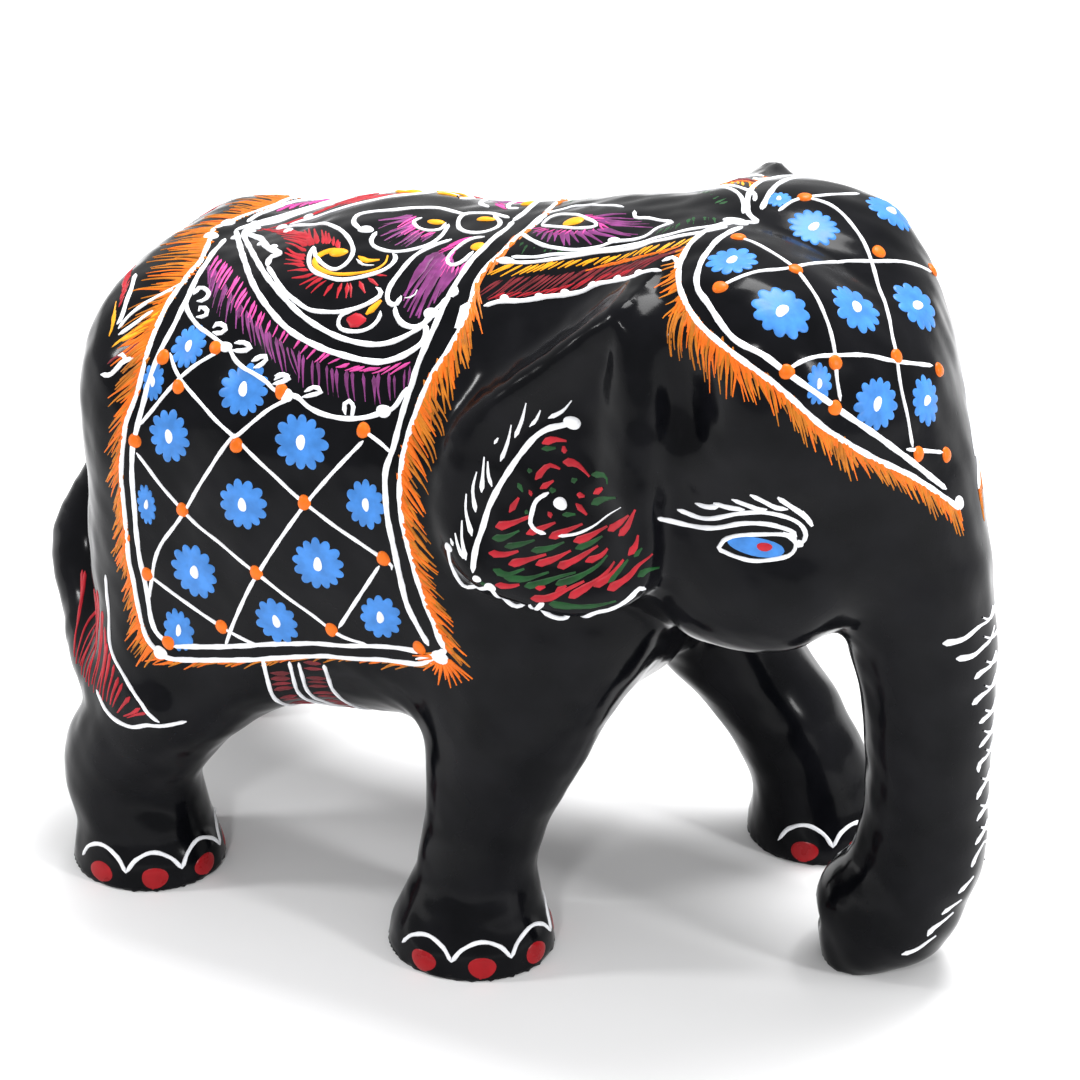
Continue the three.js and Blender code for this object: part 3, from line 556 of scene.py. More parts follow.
# strokes of the hand painting, in mm on the surface
DECO = [
("saddle_border","L","W",0.708,0.26,0,0,1,[-42.7,4.3,76.4,-38.3,-7.9,76.8,-37.9,-11.7,76.3,-37.9,-16.7,74.8,-37.9,-21.3,71.7,-38.1,-24.4,67,-39.4,-25.7,61.9,-39.9,-26.1,54.5,-39.5,-26.3,46.9,-38.4,-26.6,39.3,-37.1,-27.1,35,-35,-27.5,33.2],0),
("saddle_border","L","W",0.708,0.26,0,0,1,[-38.1,-2.7,77.1,-35.8,-17,74.8,-36.2,-22,70.9,-37.8,-25.8,62.1,-38.3,-26.2,58.4,-38.1,-26.4,49.1,-37,-26.8,41.5,-35.8,-27.1,36.3,-33.2,-27.4,34.5],0),
("saddle_border","L","W",0.708,0.26,0,0,1,[-35,-27.5,33.2,-32.3,-27.6,33,-22.2,-26.5,35,-13.4,-25.8,37.1,-5.9,-25.8,38.4,-0.6,-26.1,39.3,3.2,-26.6,42.4],0),
("saddle_border","L","W",0.708,0.26,0,0,1,[-33.2,-27.4,34.5,-26.7,-27.1,35.9,-20.5,-26.8,37.5,-6.9,-26.5,40.4,-0.4,-26.4,41],0),
("saddle_border","L","W",0.769,0.26,0,0,1,[-1.4,7.1,84.7,-0.8,-2.7,85.4,-1.5,-7.9,84.5,-2,-12.4,82.8,-2.3,-18.4,78.9,-2.9,-21.8,75,-3,-22.9,73.5,-3.7,-25.8,67.4,-4.4,-26.7,64,-4,-27.4,60.1,-2.9,-27.7,54.5,-1.7,-27.4,48.3,-0.5,-26.9,44.7,0.8,-26.6,42.4],0),
("saddle_border","L","W",0.769,0.26,0,0,1,[3.1,1.4,86.6,2.1,-3.1,86.2,1.5,-7.5,85.3,0.5,-12,83.4,1.1,-16.2,81,0.5,-19.8,77.8,-0.9,-22.3,74.5,-1.7,-24.4,70.6,-2.4,-26.1,66.2,-2.4,-27.1,61.7,-1.5,-27.5,56.8,-0.1,-27.4,51.3,1.6,-26.9,45.9,3.2,-26.6,42.4],0),
("saddle_border","O","W",1.2,1.0,0.4,0,1,[2.2,-26.5,41.1],0),
("saddle_border","O","W",1.0,0.9,0.35,0,1,[-34.9,-27.5,33.3],0),
("saddle_border","O","W",1.0,1.0,0.35,0,1,[-40.4,2.1,76.8],0),
("saddle_border","L","W",1.098,0.3,1,0,1,[3.2,-26.6,42.4,2.2,-26.7,43.6,1.5,-26.9,45.4],0),
("saddle_border","L","W",1.098,0.3,1,0,1,[3.2,-26.6,42.4,0.9,-26.4,40.9,-1.2,-26.2,39.8],0),
("saddle_border","L","W",1.586,0.36,0,0,1,[-1.7,-13.5,82.4,-1.8,-14.2,82,-1.7,-14.8,81.6],0),
("saddle_border","L","W",1.83,0.36,1,0,1,[0.7,-15.4,81.6,0.5,-16.8,80.5,0.4,-18,79.5],0),
("flank_net*","L","W",0.504,0.22,0,0,1,[-34.9,-22.2,70.9,-32.5,-24,68.6,-24.1,-26.7,64.1,-14.5,-27.8,58.3,-4.3,-27.8,53.3,-3.3,-27.7,52],0),
("flank_net*","L","W",0.504,0.22,0,0,1,[-37.7,-26.2,59,-31.3,-27,53.2,-21,-28.1,47.7,-11.7,-27.1,41.8,-7.2,-26.5,40.5],0),
("flank_net*","L","W",0.504,0.22,0,0,1,[-36.7,-26.9,43.2,-26.4,-27.3,38.8,-21.5,-26.8,37],0),
("flank_net*","L","W",0.504,0.22,0,0,1,[-7.8,-25.5,68.1,-5.7,-25.8,67.2,-3.8,-26.1,66.2],0),
("flank_net*","L","W",0.504,0.22,0,0,1,[-37.5,-25.8,62.4,-32.8,-23.8,68.8,-28.6,-21.9,72.4],0),
("flank_net*","L","W",0.504,0.22,0,0,1,[-36.6,-26.9,39.8,-35.8,-26.9,44,-34.5,-26.9,47.8,-31.3,-27,52.6,-24.9,-26.8,63.5,-23.8,-26.6,64.5,-20.3,-25.4,68,-17.7,-24.6,69.7],0),
("flank_net*","L","W",0.504,0.22,0,0,1,[-26.1,-27.1,36.2,-24.4,-27.5,40.4,-21.1,-28.1,47.1,-14.3,-27.8,58.2,-7.6,-25.9,67],0),
("flank_net*","L","W",0.504,0.22,0,0,1,[-10.7,-27.2,42.3,-4.8,-27.8,52.3],0),
("flank_net*","O","O",0.889,0.98,0.42,0,1,[-35.7,-22.5,70.3],0),
("flank_net*","O","O",0.889,0.98,0.42,0,1,[-29.1,-21.6,72.6],0),
("flank_net*","O","O",0.889,0.98,0.42,0,1,[-32.8,-24.3,67.9],0),
("flank_net*","O","O",0.889,0.98,0.42,0,1,[-19,-24.3,70.2],0),
("flank_net*","O","O",0.889,0.98,0.42,0,1,[-38,-26,60.4],0),
("flank_net*","O","O",0.889,0.98,0.42,0,1,[-23.8,-26.9,63.3],0),
("flank_net*","O","O",0.889,0.98,0.42,0,1,[-7.8,-25.5,68.1],0),
("flank_net*","O","O",0.889,0.98,0.42,0,1,[-31.3,-27,53.2],0),
("flank_net*","O","O",0.889,0.98,0.42,0,1,[-14.5,-27.8,58.3],0),
("flank_net*","O","O",0.889,0.98,0.42,0,1,[-36.7,-26.9,43.2],0),
("flank_net*","O","O",0.889,0.98,0.42,0,1,[-21,-28.1,47.7],0),
("flank_net*","O","O",0.889,0.98,0.42,0,1,[-4.3,-27.8,53.3],0),
("flank_net*","O","O",0.889,0.98,0.42,0,1,[-26.4,-27.3,38.8],0),
("flank_net*","O","O",0.889,0.98,0.42,0,1,[-11.7,-27.1,41.8],0),
("flank_net*","O","O",0.889,0.98,0.42,0,1,[-33.8,-27.4,34.9],0),
("flank_net*","O","O",0.889,0.98,0.42,0,1,[-0.6,-26.5,41.6],0),
("flank_net*","F","B",2.9,0.0,0.8,0,1,[-32.7,-21.5,71.9],0),
("flank_net*","F","B",2.6,0.7,0.55,0,1,[-36.3,-24.1,67.7],0),
("flank_net*","F","B",3.2,1.4,1,0,1,[-33.2,-26.1,62.1],0),
("flank_net*","F","B",3.3,2.1,1,0,1,[-23.9,-24.5,69.5],0),
("flank_net*","F","B",3.5,2.8,1,0,1,[-15.5,-26.4,65.3],0),
("flank_net*","F","B",2.6,3.5,0.55,0,1,[-36.5,-26.5,52.5],0),
("flank_net*","F","B",3.3,4.2,1,0,1,[-22.6,-27.9,56.3],0),
("flank_net*","F","B",3.2,4.9,0.75,0,1,[-6.6,-27.5,59.7],0),
("flank_net*","F","B",3.5,5.6,1,0,1,[-29.8,-27.4,45.4],0),
("flank_net*","F","B",3.5,6.3,1,0,1,[-12.7,-28,50.8],0),
("flank_net*","F","B",3.0,7.0,0.7,0,1,[-32.4,-27.3,36.8],0),
("flank_net*","F","B",3.3,7.7,0.9,0,1,[-18.9,-27.4,41.3],0),
("flank_net*","F","B",3.2,8.4,0.85,0,1,[-5.1,-27.3,45.1],0),
("swag*","L","W",0.759,0.27,0,0,1,[-39.9,2.6,76.8,-32.9,-7.8,78,-27.4,-14.8,77.7,-22.4,-18.7,76.4,-18.9,-20.3,75.6,-15.1,-21.2,75.1,-12.3,-21.5,75,-9.7,-21.5,74.9,-7.1,-21.4,75.2,-4.8,-20.7,76.2,-3.1,-19.6,77.5,-3,-18.7,78.5,-3.6,-17.8,79.2],0),
("swag*","L","W",0.69,0.27,0,0,1,[-39.2,3.5,76.9,-35,-3.2,77.7,-27.5,-12.4,78.7,-22.6,-16.4,78,-19.2,-18.4,77.3,-15.9,-19.6,76.7,-13,-20.2,76.4,-10.3,-20.2,76.3,-7.8,-20,76.7,-5.6,-19.2,77.7,-3.8,-18,79,-3.5,-16.7,80.1],0),
("swag*","H","P",40,0.713,0.12,0.5,1,[-35.1,-12.4,76.6,-33.8,-14.7,76.1,-31.6,-17.5,75.3,-28.9,-19.2,74.8,-25.4,-20.8,74.2,-22,-22,73.3,-19.3,-23.1,72.1,-17,-23.3,72,-17.1,-23.9,71,-13.6,-24.2,70.9,-11,-24.3,70.8,-8.4,-24.1,71,-6.4,-24.2,70.9,-4.2,-23.4,72.5,-3.1,-22.5,74],[-37.5,-8.7,76.8,-34.9,-10.9,77,-30.6,-14.9,76.8,-26.4,-18.2,76.1,-23.2,-19.8,75.4,-20.2,-21,74.6,-17.5,-21.7,74.2,-15,-22.1,74,-11.9,-22.4,73.7,-9.3,-22.3,73.9,-6.8,-22.1,74.3,-4.6,-21.8,74.9,-3.2,-21.3,75.7]),
("swag*","H","K",35,0.632,0.2,0.5,1,[-35.6,-11.5,76.7,-32,-14.8,76.5,-29.8,-16.6,76.2,-27.3,-18.5,75.7,-24.2,-19.9,75.1,-21.4,-20.7,74.7,-18.7,-21.4,74.4,-16.3,-22.2,73.8,-13.9,-22.3,73.9,-11.5,-22.5,73.6,-9.3,-22.3,73.9,-7.3,-22.3,73.9,-5.4,-22.2,74.3],[-36.5,-7.3,77.1,-30.9,-12.4,77.7,-28.6,-14.7,77.5,-26.3,-16.8,77,-23.9,-18.5,76.4,-21.4,-19.5,76,-18.3,-20.5,75.4,-13.7,-21.4,75,-11.6,-21.9,74.4,-9.1,-21.9,74.4,-6.9,-21.8,74.7,-4.9,-21.3,75.5,-3,-21,76]),
("swag*","L","W",0.575,0.27,0,0,1,[-36,-14.8,75.7,-35.6,-16.8,74.9,-34.4,-18.2,74.3,-32.4,-19.6,73.7,-30.8,-20.3,73.5,-29.6,-20.8,73.3,-28.5,-21.3,73,-27.4,-21.6,72.9,-26.2,-22.5,72.1,-24.6,-23.1,71.5,-23.3,-23.4,71.3,-21.4,-23.8,70.8,-19.7,-24.3,70.1,-17.9,-24.4,70.1],0),
("swag*","L","W",0.632,0.27,0,0,1,[-18.5,-24.4,69.9,-16.8,-24.5,70,-15.3,-24.9,69.3,-13.2,-25.2,68.9,-10.5,-25.2,68.9,-8,-24.9,69.4,-6.2,-24.6,70.2,-4.5,-24.1,71.1,-3.6,-23.2,72.9,-3,-22.8,73.6],0),
("swag*","L","W",0.632,0.3,0,0,1,[-35.5,-15.4,75.6,-35.2,-14.1,76.1,-33.7,-14.9,76.1,-33.5,-16.2,75.6,-34.4,-16.4,75.3],0),
("swag*","L","W",0.632,0.3,0,0,1,[-33.2,-18.6,74.3,-32.1,-18.4,74.6,-32.4,-17.6,75.1,-33.4,-17.3,75,-33.3,-17.9,74.7],0),
("swag*","L","W",0.632,0.3,0,0,1,[-30.2,-20.2,73.7,-29.1,-20.3,73.8,-28.6,-19.8,74.4,-29.9,-19.3,74.5,-30.4,-19.8,74],0),
("swag*","L","W",0.632,0.3,0,0,1,[-26.9,-21.8,72.8,-25.3,-21.8,73.1,-24.6,-21.5,73.5,-25.7,-21.1,73.8,-26.9,-21.2,73.5],0),
("swag*","L","W",0.632,0.3,0,0,1,[-23.3,-23.1,71.8,-22.5,-22.8,72.2,-21.9,-22.2,73,-22.8,-22.2,73,-23.8,-22.6,72.3],0),
("swag*","L","W",0.632,0.3,0,0,1,[-20.3,-24,70.7,-19.4,-23.8,71,-18.4,-23.5,71.6,-19.2,-23.3,71.8,-20.3,-23.4,71.5],0),
("swag*","L","W",0.575,0.3,0,0,1,[-19.7,-24.1,70.5,-18.9,-23.7,71.2,-18.2,-23.4,71.7,-19.4,-23.3,71.8,-20.2,-23.7,71.1],0),
("swag*","L","W",0.575,0.3,0,0,1,[-16.2,-24.5,70.1,-14.9,-24.3,70.6,-13.9,-24.1,71.1,-14.8,-23.8,71.4,-16,-24.2,70.7],0),
("swag*","L","W",0.575,0.3,0,0,1,[-10.3,-25,69.3,-10.7,-24.5,70.3,-10,-24.2,70.8,-9.3,-24.6,70],0),
("swag*","L","W",0.575,0.3,0,0,1,[-9.5,-25.2,68.8,-9.5,-24.5,70.2,-10,-24.2,70.8],0),
("swag*","O","W",0.95,0.8,0.35,0,1,[-5.7,-24.4,70.5],0),
("swag*","O","W",0.9,0.8,0.3,0,1,[-18.2,-24.5,69.9],0),
("swag*","O","W",0.9,0.7,0.3,0,1,[-27.9,-21.5,72.9],0),
("back_arabesque","L","W",0.59,0.25,0,0,1,[-31.1,-0.6,79.1,-28.3,-1.3,80.2,-24.8,-2.7,81.4,-21.7,-4.6,82.2,-18.8,-7.2,82.5,-17.1,-9.6,82.2,-17,-11.4,81.7,-17.9,-12.5,81.1,-19.4,-12.1,81,-21.5,-10.5,81.1,-22.9,-8.4,81.2],0),
("back_arabesque","L","W",0.59,0.25,0,0,1,[-22.9,-8.4,81.2,-22.5,-10.4,80.8,-21.4,-12.2,80.5,-19.5,-13.4,80.4,-16.8,-14,80.6,-14.4,-13.4,81,-12.4,-12.2,81.6,-11.5,-10.8,82.1,-11.6,-9.4,82.5,-12.3,-8.8,82.7],0),
("back_arabesque","L","Y",1.121,0.3,1,0,1,[-18.1,-9.6,82.1,-19.9,-9.4,81.8,-21.2,-10.1,81.3,-21.4,-11.2,80.9,-20.1,-12.5,80.7,-17.9,-13.2,80.8,-15.3,-13,81.2,-13.1,-12,81.7,-12.4,-10.6,82.2,-12.7,-9.3,82.5],0),
("back_arabesque","O","Y",1.3,0.8,0.35,0,1,[-19,-9.7,81.9],0),
("back_arabesque","L","Y",1.18,0.3,1,0,1,[-16,-10.3,82.1,-14.8,-10.7,82.1,-13.3,-10.2,82.3],0),
("back_arabesque","L","W",0.531,0.25,1,0,1,[-16.1,-10.7,82,-14.8,-11.4,81.8,-13.5,-11.2,81.9],0),
("back_arabesque","L","W",0.885,0.3,0,0,1,[-37.3,3.3,77.2,-37.2,1.6,77.3,-35.6,-1.5,77.6,-33.1,-3.1,78.3,-30.1,-6.7,79.1,-26.8,-9.3,79.9],0),
("back_arabesque","L","W",0.826,0.3,0,0,1,[-26.8,-9.3,79.9,-28.2,-9.5,79.3,-27.7,-11.2,79],0),
("back_arabesque","L","W",0.59,0.25,0,0,1,[-27.7,-11.2,79,-25.9,-13,78.9,-23.7,-15.1,78.6,-21.1,-16.7,78.2,-18.6,-17.7,77.9,-16.1,-17.9,78.2,-14,-17.5,78.6,-12.1,-16.6,79.3,-10.8,-15.4,80.1,-10.9,-14.6,80.5,-11.7,-14.3,80.7],0),
("back_arabesque","O","W",0.7,0.55,0.3,0,1,[-36.8,2.4,77.3],0),
("back_arabesque","O","W",0.7,0.55,0.3,0,1,[-35.7,-0.6,77.6],0),
("back_arabesque","O","W",0.7,0.55,0.3,0,1,[-31.7,-5.2,78.7],0),
("back_arabesque","O","W",0.7,0.55,0.3,0,1,[-29.2,-7,79.5],0),
("back_arabesque","O","W",0.7,0.55,0.3,0,1,[-31.9,0.2,78.8],0),
("back_arabesque","O","W",0.7,0.55,0.3,0,1,[-29.6,-2.5,79.7],0),
("back_arabesque","H","R",24,0.885,0.16,0.5,1,[-35.4,0.8,77.7,-31.8,-1.9,78.9,-28.5,-5.4,79.9,-26.8,-8.2,80.1,-25.7,-10.7,79.8,-24,-12.8,79.5,-22.1,-14.4,79.3,-19.6,-15.7,79.1,-17,-16.2,79.3,-15,-16.2,79.5,-13.3,-15.6,79.9,-11.8,-14.7,80.5,-11,-11.9,81.7],[-26.7,-4.3,80.7,-24.3,-6.3,81.2,-23.8,-7.8,81.1,-23.4,-9.4,80.9,-22.8,-10.8,80.6,-22,-12,80.4,-20.7,-13.1,80.3,-18.9,-13.8,80.3,-17.3,-14.4,80.3,-15.9,-14.4,80.5,-14.8,-14,80.7,-13.5,-13.3,81.1,-12.2,-12.5,81.5]),
("back_arabesque","H","R",9,0.944,0.16,0.5,1,[-27.6,-3.3,80.4,-25.8,-3.5,81,-23.2,-5,81.7,-21,-6.7,82.1,-19.1,-8.3,82.2],[-23.8,-8.3,81,-23,-7.9,81.3,-21.6,-8.1,81.7,-19.8,-8.8,82,-19,-9.4,82]),
("back_arabesque","L","W",0.531,0.25,0,0,1,[-13.1,-17.3,78.8,-14.3,-18,78.3,-14.3,-18.9,77.5,-13.4,-19.4,77.1,-11.5,-19.3,77.2,-10.1,-18.7,77.8,-9.6,-17.7,78.6,-9.8,-16.9,79.2],0),
("back_arabesque","L","R",2.36,0.2,2,0,1,[-13.5,-18.3,78.1,-12.3,-18.3,78.1,-11.1,-18,78.3],0),
("back_arabesque","L","Y",1.652,0.3,1,0,1,[-11.4,-17.5,78.7,-10.8,-16.6,79.3,-10.3,-15.7,79.9],0),
("back_arabesque","L","W",0.59,0.25,0,0,0,[-16.3,-5.1,83.1,-16.1,-6.9,82.9,-14.8,-8.2,82.7,-12.6,-8.4,82.7,-10.2,-7.4,83.1,-8.8,-6.1,83.5,-8.3,-3.9,83.8,-8.9,-1,83.9],0),
("back_arabesque","L","W",0.649,0.25,0,0,0,[-17.9,-5.4,82.9,-20.1,-3.5,82.7,-20.8,-1.2,82.7,-19.3,-0,83,-17.1,1,83.3,-14.6,2.7,83.4,-11.9,3.4,83.5,-8.1,1.7,84],0),
("back_arabesque","O","W",1.1,0.7,0.35,0,0,[-17.8,-4.9,83],0),
("back_arabesque","L","W",0.531,0.25,0,0,0,[-12.9,-0,83.6,-13.4,-1.1,83.5,-12.3,-2.5,83.5,-10.7,-3,83.6,-9.3,-2.4,83.8,-9.4,-0.7,83.8],0),
("back_arabesque","H","P",12,1.18,0.12,0.5,0,[-17.6,-2.6,83.2,-16.3,-4.5,83.2,-14.7,-6.3,83.1,-12.9,-7.2,83,-11.1,-6.8,83.1,-9.9,-5.3,83.5],[-14.5,0.5,83.5,-13.8,-0.9,83.5,-12.9,-2.4,83.5,-11.8,-3.5,83.5,-10.5,-3.5,83.6,-9.3,-3.3,83.7]),
("back_arabesque","H","K",9,0.59,0.18,0.5,0,[-14.7,-3.1,83.4,-14,-4.2,83.4,-12.8,-4.8,83.3,-11.4,-4.9,83.4,-10,-4.4,83.6],[-13.9,0.3,83.5,-13.1,-1.3,83.5,-12,-2.4,83.5,-10.6,-3.2,83.6,-8.9,-3.2,83.8]),
("back_arabesque","O","Y",1.15,0.55,0.32,0,0,[-10.7,-0.7,83.7],0),
("back_arabesque","L","W",0.59,0.25,0,0,0,[-1.9,1,85.2,-5.3,2.3,84.5,-7.9,2,84,-8.2,0.3,84,-7,-2,84.1,-5.2,-3.4,84.4,-3.3,-3.2,84.8,-2.3,-1.8,85.1,-2.6,-0.2,85.1,-4.3,1.6,84.7],0),
("back_arabesque","O","Y",1.25,0.5,0.32,0,0,[-4.7,0.4,84.6],0),
("back_arabesque","L","W",0.649,0.25,0,0,1,[-6.5,-5,84,-8.1,-6.3,83.6,-9.3,-8.5,83,-9.9,-11.8,81.9,-10.1,-14.1,80.9,-9.5,-15.6,80,-8.3,-16,79.9,-8.1,-14.9,80.6],0),
("back_arabesque","L","W",0.708,0.25,0,0,1,[-8.3,-16.1,79.8,-7.8,-17,79.3,-6.5,-17.9,78.7,-4.7,-18.2,78.7,-3.4,-17.5,79.5,-3.1,-16.3,80.4],0),
("back_arabesque","O","W",1.0,0.8,0.35,0,1,[-3.4,-16.7,80.1],0),
("back_arabesque","L","W",0.472,0.2,1,0,1,[-7.6,-15.1,80.5,-6.6,-14.9,80.8,-6.5,-14,81.3],0),
("back_arabesque","H","P",14,1.298,0.12,0.5,1,[-7.9,-14.5,80.8,-7.3,-16.3,79.8,-5.5,-17.4,79.3,-4.2,-16.7,79.9,-3.4,-14.9,81.3,-3.3,-13.3,82.2],[-7.7,-8.4,83.2,-7,-7.8,83.5,-4.8,-8.8,83.6,-3.8,-10.2,83.4,-3,-10.6,83.4,-2.2,-10.2,83.7]),
("back_arabesque","H","K",10,0.59,0.18,0.5,1,[-6.1,-10.2,83,-5.4,-11.2,82.7,-4.4,-12,82.6,-3.4,-12,82.8,-2.7,-11.8,83,-1.8,-11,83.5],[-4.8,-6.2,84.2,-4.6,-7.8,83.9,-4.4,-9.3,83.6,-3.4,-10.2,83.4,-2.5,-10.2,83.6,-2,-9.3,84]),
("back_arabesque","H","K",5,0.531,0.18,0.5,1,[-6.7,-8.3,83.4,-6.9,-7.3,83.6,-6.5,-6.8,83.7,-6.1,-5.9,84],[-5.2,-6.8,84,-4.9,-5.9,84.2,-4.4,-5,84.4,-3.7,-4.1,84.7]),
("back_arabesque","L","W",0.59,0.25,0,0,1,[-2.4,-4.6,84.9,-4,-5.1,84.5,-4.9,-7.3,83.9,-4.9,-9.3,83.5,-3.9,-10.3,83.3,-2.7,-9.7,83.8,-2.3,-7.8,84.4],0),
("back_arabesque","O","Y",1.0,0.8,0.32,0,1,[-2.2,-6.8,84.6],0),
("back_arabesque","L","W",0.531,0.22,0,0,1,[-2.4,-14.6,81.6,-2.7,-15.8,80.8,-3.8,-17.4,79.5],0),
("neck_leaf","L","W",0.552,0.24,0,0,1,[3.1,-8.9,85.3,8.2,-9.2,86.7,13.1,-9.4,88,17,-8.5,89.2,20.3,-8.1,90.4,23.7,-6.9,91.5,26.3,-4.6,91.8,27.8,-1.6,91.7],0),
("neck_leaf","L","W",0.575,0.24,0,0,1,[1.3,-9.5,84.6,4.1,-9.8,85.2,8.3,-10,86.4,13.3,-9.6,87.9,16.2,-9.2,88.7,20.1,-8.9,90.1,23.7,-8.2,91.4,26.9,-6.5,91.9,28,-4.5,92],0),
("neck_leaf","O","W",1.2,0.6,0.32,0,1,[2.7,-9.5,84.9],0),
("neck_leaf","O","W",1.7,1.0,0.36,0,0,[28,-1.9,91.7],0),
("neck_leaf","L","W",0.552,0.24,0,0,0,[1.9,-3.9,86,4.3,-5.9,86.4,7.5,-7.8,87,10.9,-8.8,87.7,14,-8.6,88.5,15.5,-7.7,89.2,18.2,-7.3,89.8,19.2,-6.6,90.3,19.5,-5.2,90.6,20.9,-3.9,91.1,18.9,-3.1,90.6,17.2,-2.5,90.4,15.7,-2.4,90.2,14.9,-0.9,90.2],0),
("neck_leaf","L","W",0.46,0.22,0,0,0,[13.1,0.2,89.8,9.5,1.6,88.8,5.8,3.3,87.3,4.3,2.7,86.9,2.3,1.3,86.3,1.9,-3.9,86],0),
("neck_leaf","O","W",0.9,0.5,0.3,0,0,[15.4,-7.5,89.2],0),
("neck_leaf","L","W",0.517,0.24,0,0,0,[3.4,-1.7,86.6,3.8,0.1,86.8,5.5,0.2,87.3,7.9,-1.1,88.2,10.1,-2.9,88.9,11.7,-4.3,89.2,11.4,-5,89,9.6,-4.9,88.5,7.5,-4,87.8,5.2,-3,87.1,3.4,-1.7,86.6],0),
("neck_leaf","O","Y",1.45,0.95,0.34,0,0,[8.1,-2.8,88.2],0),
("neck_leaf","H","P",18,1.035,0.12,0.5,0,[2.7,-3.8,86.3,7.1,-7,87.1,11.2,-8.3,88,14,-8.1,88.7,15.7,-6.9,89.5,17.8,-6.4,90,19.1,-4.8,90.5,16.2,-2.9,90.2,13.9,-1.6,90],[3.7,-2.9,86.7,6.4,-4.2,87.4,8.6,-5.1,88.1,10.5,-5.5,88.6,11.9,-5.4,89,12.5,-4.9,89.3,12.9,-4.4,89.5,11.6,-3.6,89.3,10,-2.5,88.9]),
("neck_leaf","H","K",16,0.517,0.18,0.5,0,[2.2,-2.2,86.3,4,-4.1,86.6,6.6,-5.3,87.3,9.3,-6.1,88.1,11.4,-6.3,88.7,13,-5.9,89.2,13.6,-4.7,89.6,12.3,-3.3,89.5,9.5,-1.4,88.8],[3.9,-2.6,86.7,5.5,-3.7,87.2,7.4,-4.5,87.8,9.1,-5.1,88.3,10.7,-5.3,88.7,11.8,-5.1,89.1,12,-4.3,89.3,11,-3.4,89.1,8.2,-1.3,88.3]),
("neck_leaf","H","G",16,1.035,0.08,0.5,1,[1.7,-8.5,85,3.4,-8.4,85.5,5.5,-8.5,86.1,8,-8.8,86.8,10.4,-9,87.5,12.7,-9,88.1],[2.1,-4.8,86,3.8,-6.1,86.2,5.9,-7.4,86.6,7.8,-8.3,86.9,9.8,-8.9,87.4,11.6,-9.1,87.8]),
("neck_leaf","H","G",12,1.035,0.08,0.5,1,[19.4,-7.3,90.2,21.4,-6.9,91,23.4,-6.2,91.5,25.1,-4.9,91.7,26.5,-3.1,91.8],[19.9,-5.3,90.7,21.5,-4.6,91.2,22.5,-3,91.4,24.1,-2.1,91.6,25.6,-1.6,91.6]),
("neck_band*","H","Y",26,0.616,0.2,0.5,1,[0.9,-11.6,83.7,4.3,-11.9,84.3,7.5,-11.4,85.4,11.5,-11.4,86.6,15.4,-11.1,87.6,18.7,-10.8,88.9,22.2,-11.2,90.5,25.1,-10,91.3,26.2,-9.5,91.6],[3.1,-10,84.8,7,-10.4,85.8,10.4,-10.3,86.9,13.6,-10.4,87.6,17.1,-9.9,88.7,19.9,-9.7,89.8,23.1,-9.4,91.1,25.5,-8.4,91.6,27.2,-7.9,92]),
("neck_band*","H","O",14,0.504,0.18,0.5,1,[13,-12.1,86.5,15.6,-11.6,87.4,18.5,-11.6,88.5,21.4,-11.9,90,24,-11.5,90.9],[16,-11.2,87.7,18.8,-11,88.9,21.7,-11.3,90.3,24.2,-10.5,91.1,25.5,-9.7,91.5]),
("neck_band*","H","D",30,0.56,0.16,0.5,1,[0.8,-14.5,82.2,3.2,-14.6,82.4,6,-14.3,83.2,8.9,-14.3,83.9,11.7,-14.2,84.6,14.4,-13.9,85.5,16.5,-13.5,86.6,19.8,-14.5,88.3,21.7,-15.1,89.4],[3,-12.4,83.8,6,-11.9,84.7,9.5,-12.1,85.7,12.9,-11.8,86.6,16.1,-11.5,87.6,19.8,-12.1,89.1,22.7,-12.2,90.4,25,-11.1,91.1,26,-10.1,91.5]),
("neck_band*","H","R",16,0.56,0.18,0.5,1,[2.4,-14.8,82.2,6.6,-14.5,83.2,8.9,-14.3,83.9,11.2,-14.3,84.5,13.8,-13.8,85.4,16.5,-13.5,86.6,19.7,-14.3,88.3],[4.1,-13.9,83,8.1,-13.9,84,10.9,-13.8,84.8,13.5,-13.1,85.8,16,-12.5,87,19.1,-13,88.3,21.6,-13.5,89.7]),
("neck_band*","L","W",0.672,0.27,0,0,1,[2.8,-15.5,81.7,4.8,-14.9,82.5,7.1,-14.9,83,9.6,-14.6,83.8,12.4,-14.4,84.5,14.6,-14.2,85.3,16.3,-13.8,86.4,19.3,-14.6,87.9,21.4,-15.6,89.2,22.3,-15.1,89.6,24.6,-14.9,90.2],0),
("neck_band*","L","W",0.672,0.27,0,0,1,[23.9,-13.3,90.6,24.9,-12.4,90.9,25.9,-13.5,90.8,25.9,-14.4,90.5],0),
("neck_band*","O","W",0.62,0.5,0.32,0,1,[4.9,-14.6,82.8],0),
("neck_band*","O","W",0.62,0.5,0.32,0,1,[9.2,-14.5,83.8],0),
("neck_band*","O","W",0.62,0.5,0.32,0,1,[12.4,-14.2,84.7],0),
("neck_band*","O","W",0.62,0.5,0.32,0,1,[15.6,-13.7,86],0),
("neck_band*","O","W",0.62,0.5,0.32,0,1,[18.8,-14.1,87.7],0),
("neck_band*","O","W",0.62,0.5,0.32,0,1,[21.8,-15,89.5],0),
("rump_leaf","L","W",0.69,0.26,0,0,1,[-45.3,-11.9,74.8,-44,-15.9,74.1,-43.5,-18.9,72.5,-43.7,-19.6,71.8],0),
("rump_leaf","L","W",0.575,0.25,0,0,1,[-37.4,-13.3,76,-39,-15.4,75.2,-41.2,-17.7,73.9,-42.5,-19,72.8,-43.2,-20.2,71.6],0),
("rump_leaf","L","W",0.575,0.25,0,0,1,[-39.3,-18.3,73.9,-41,-19.9,72.5,-42.8,-20.8,71.1],0),
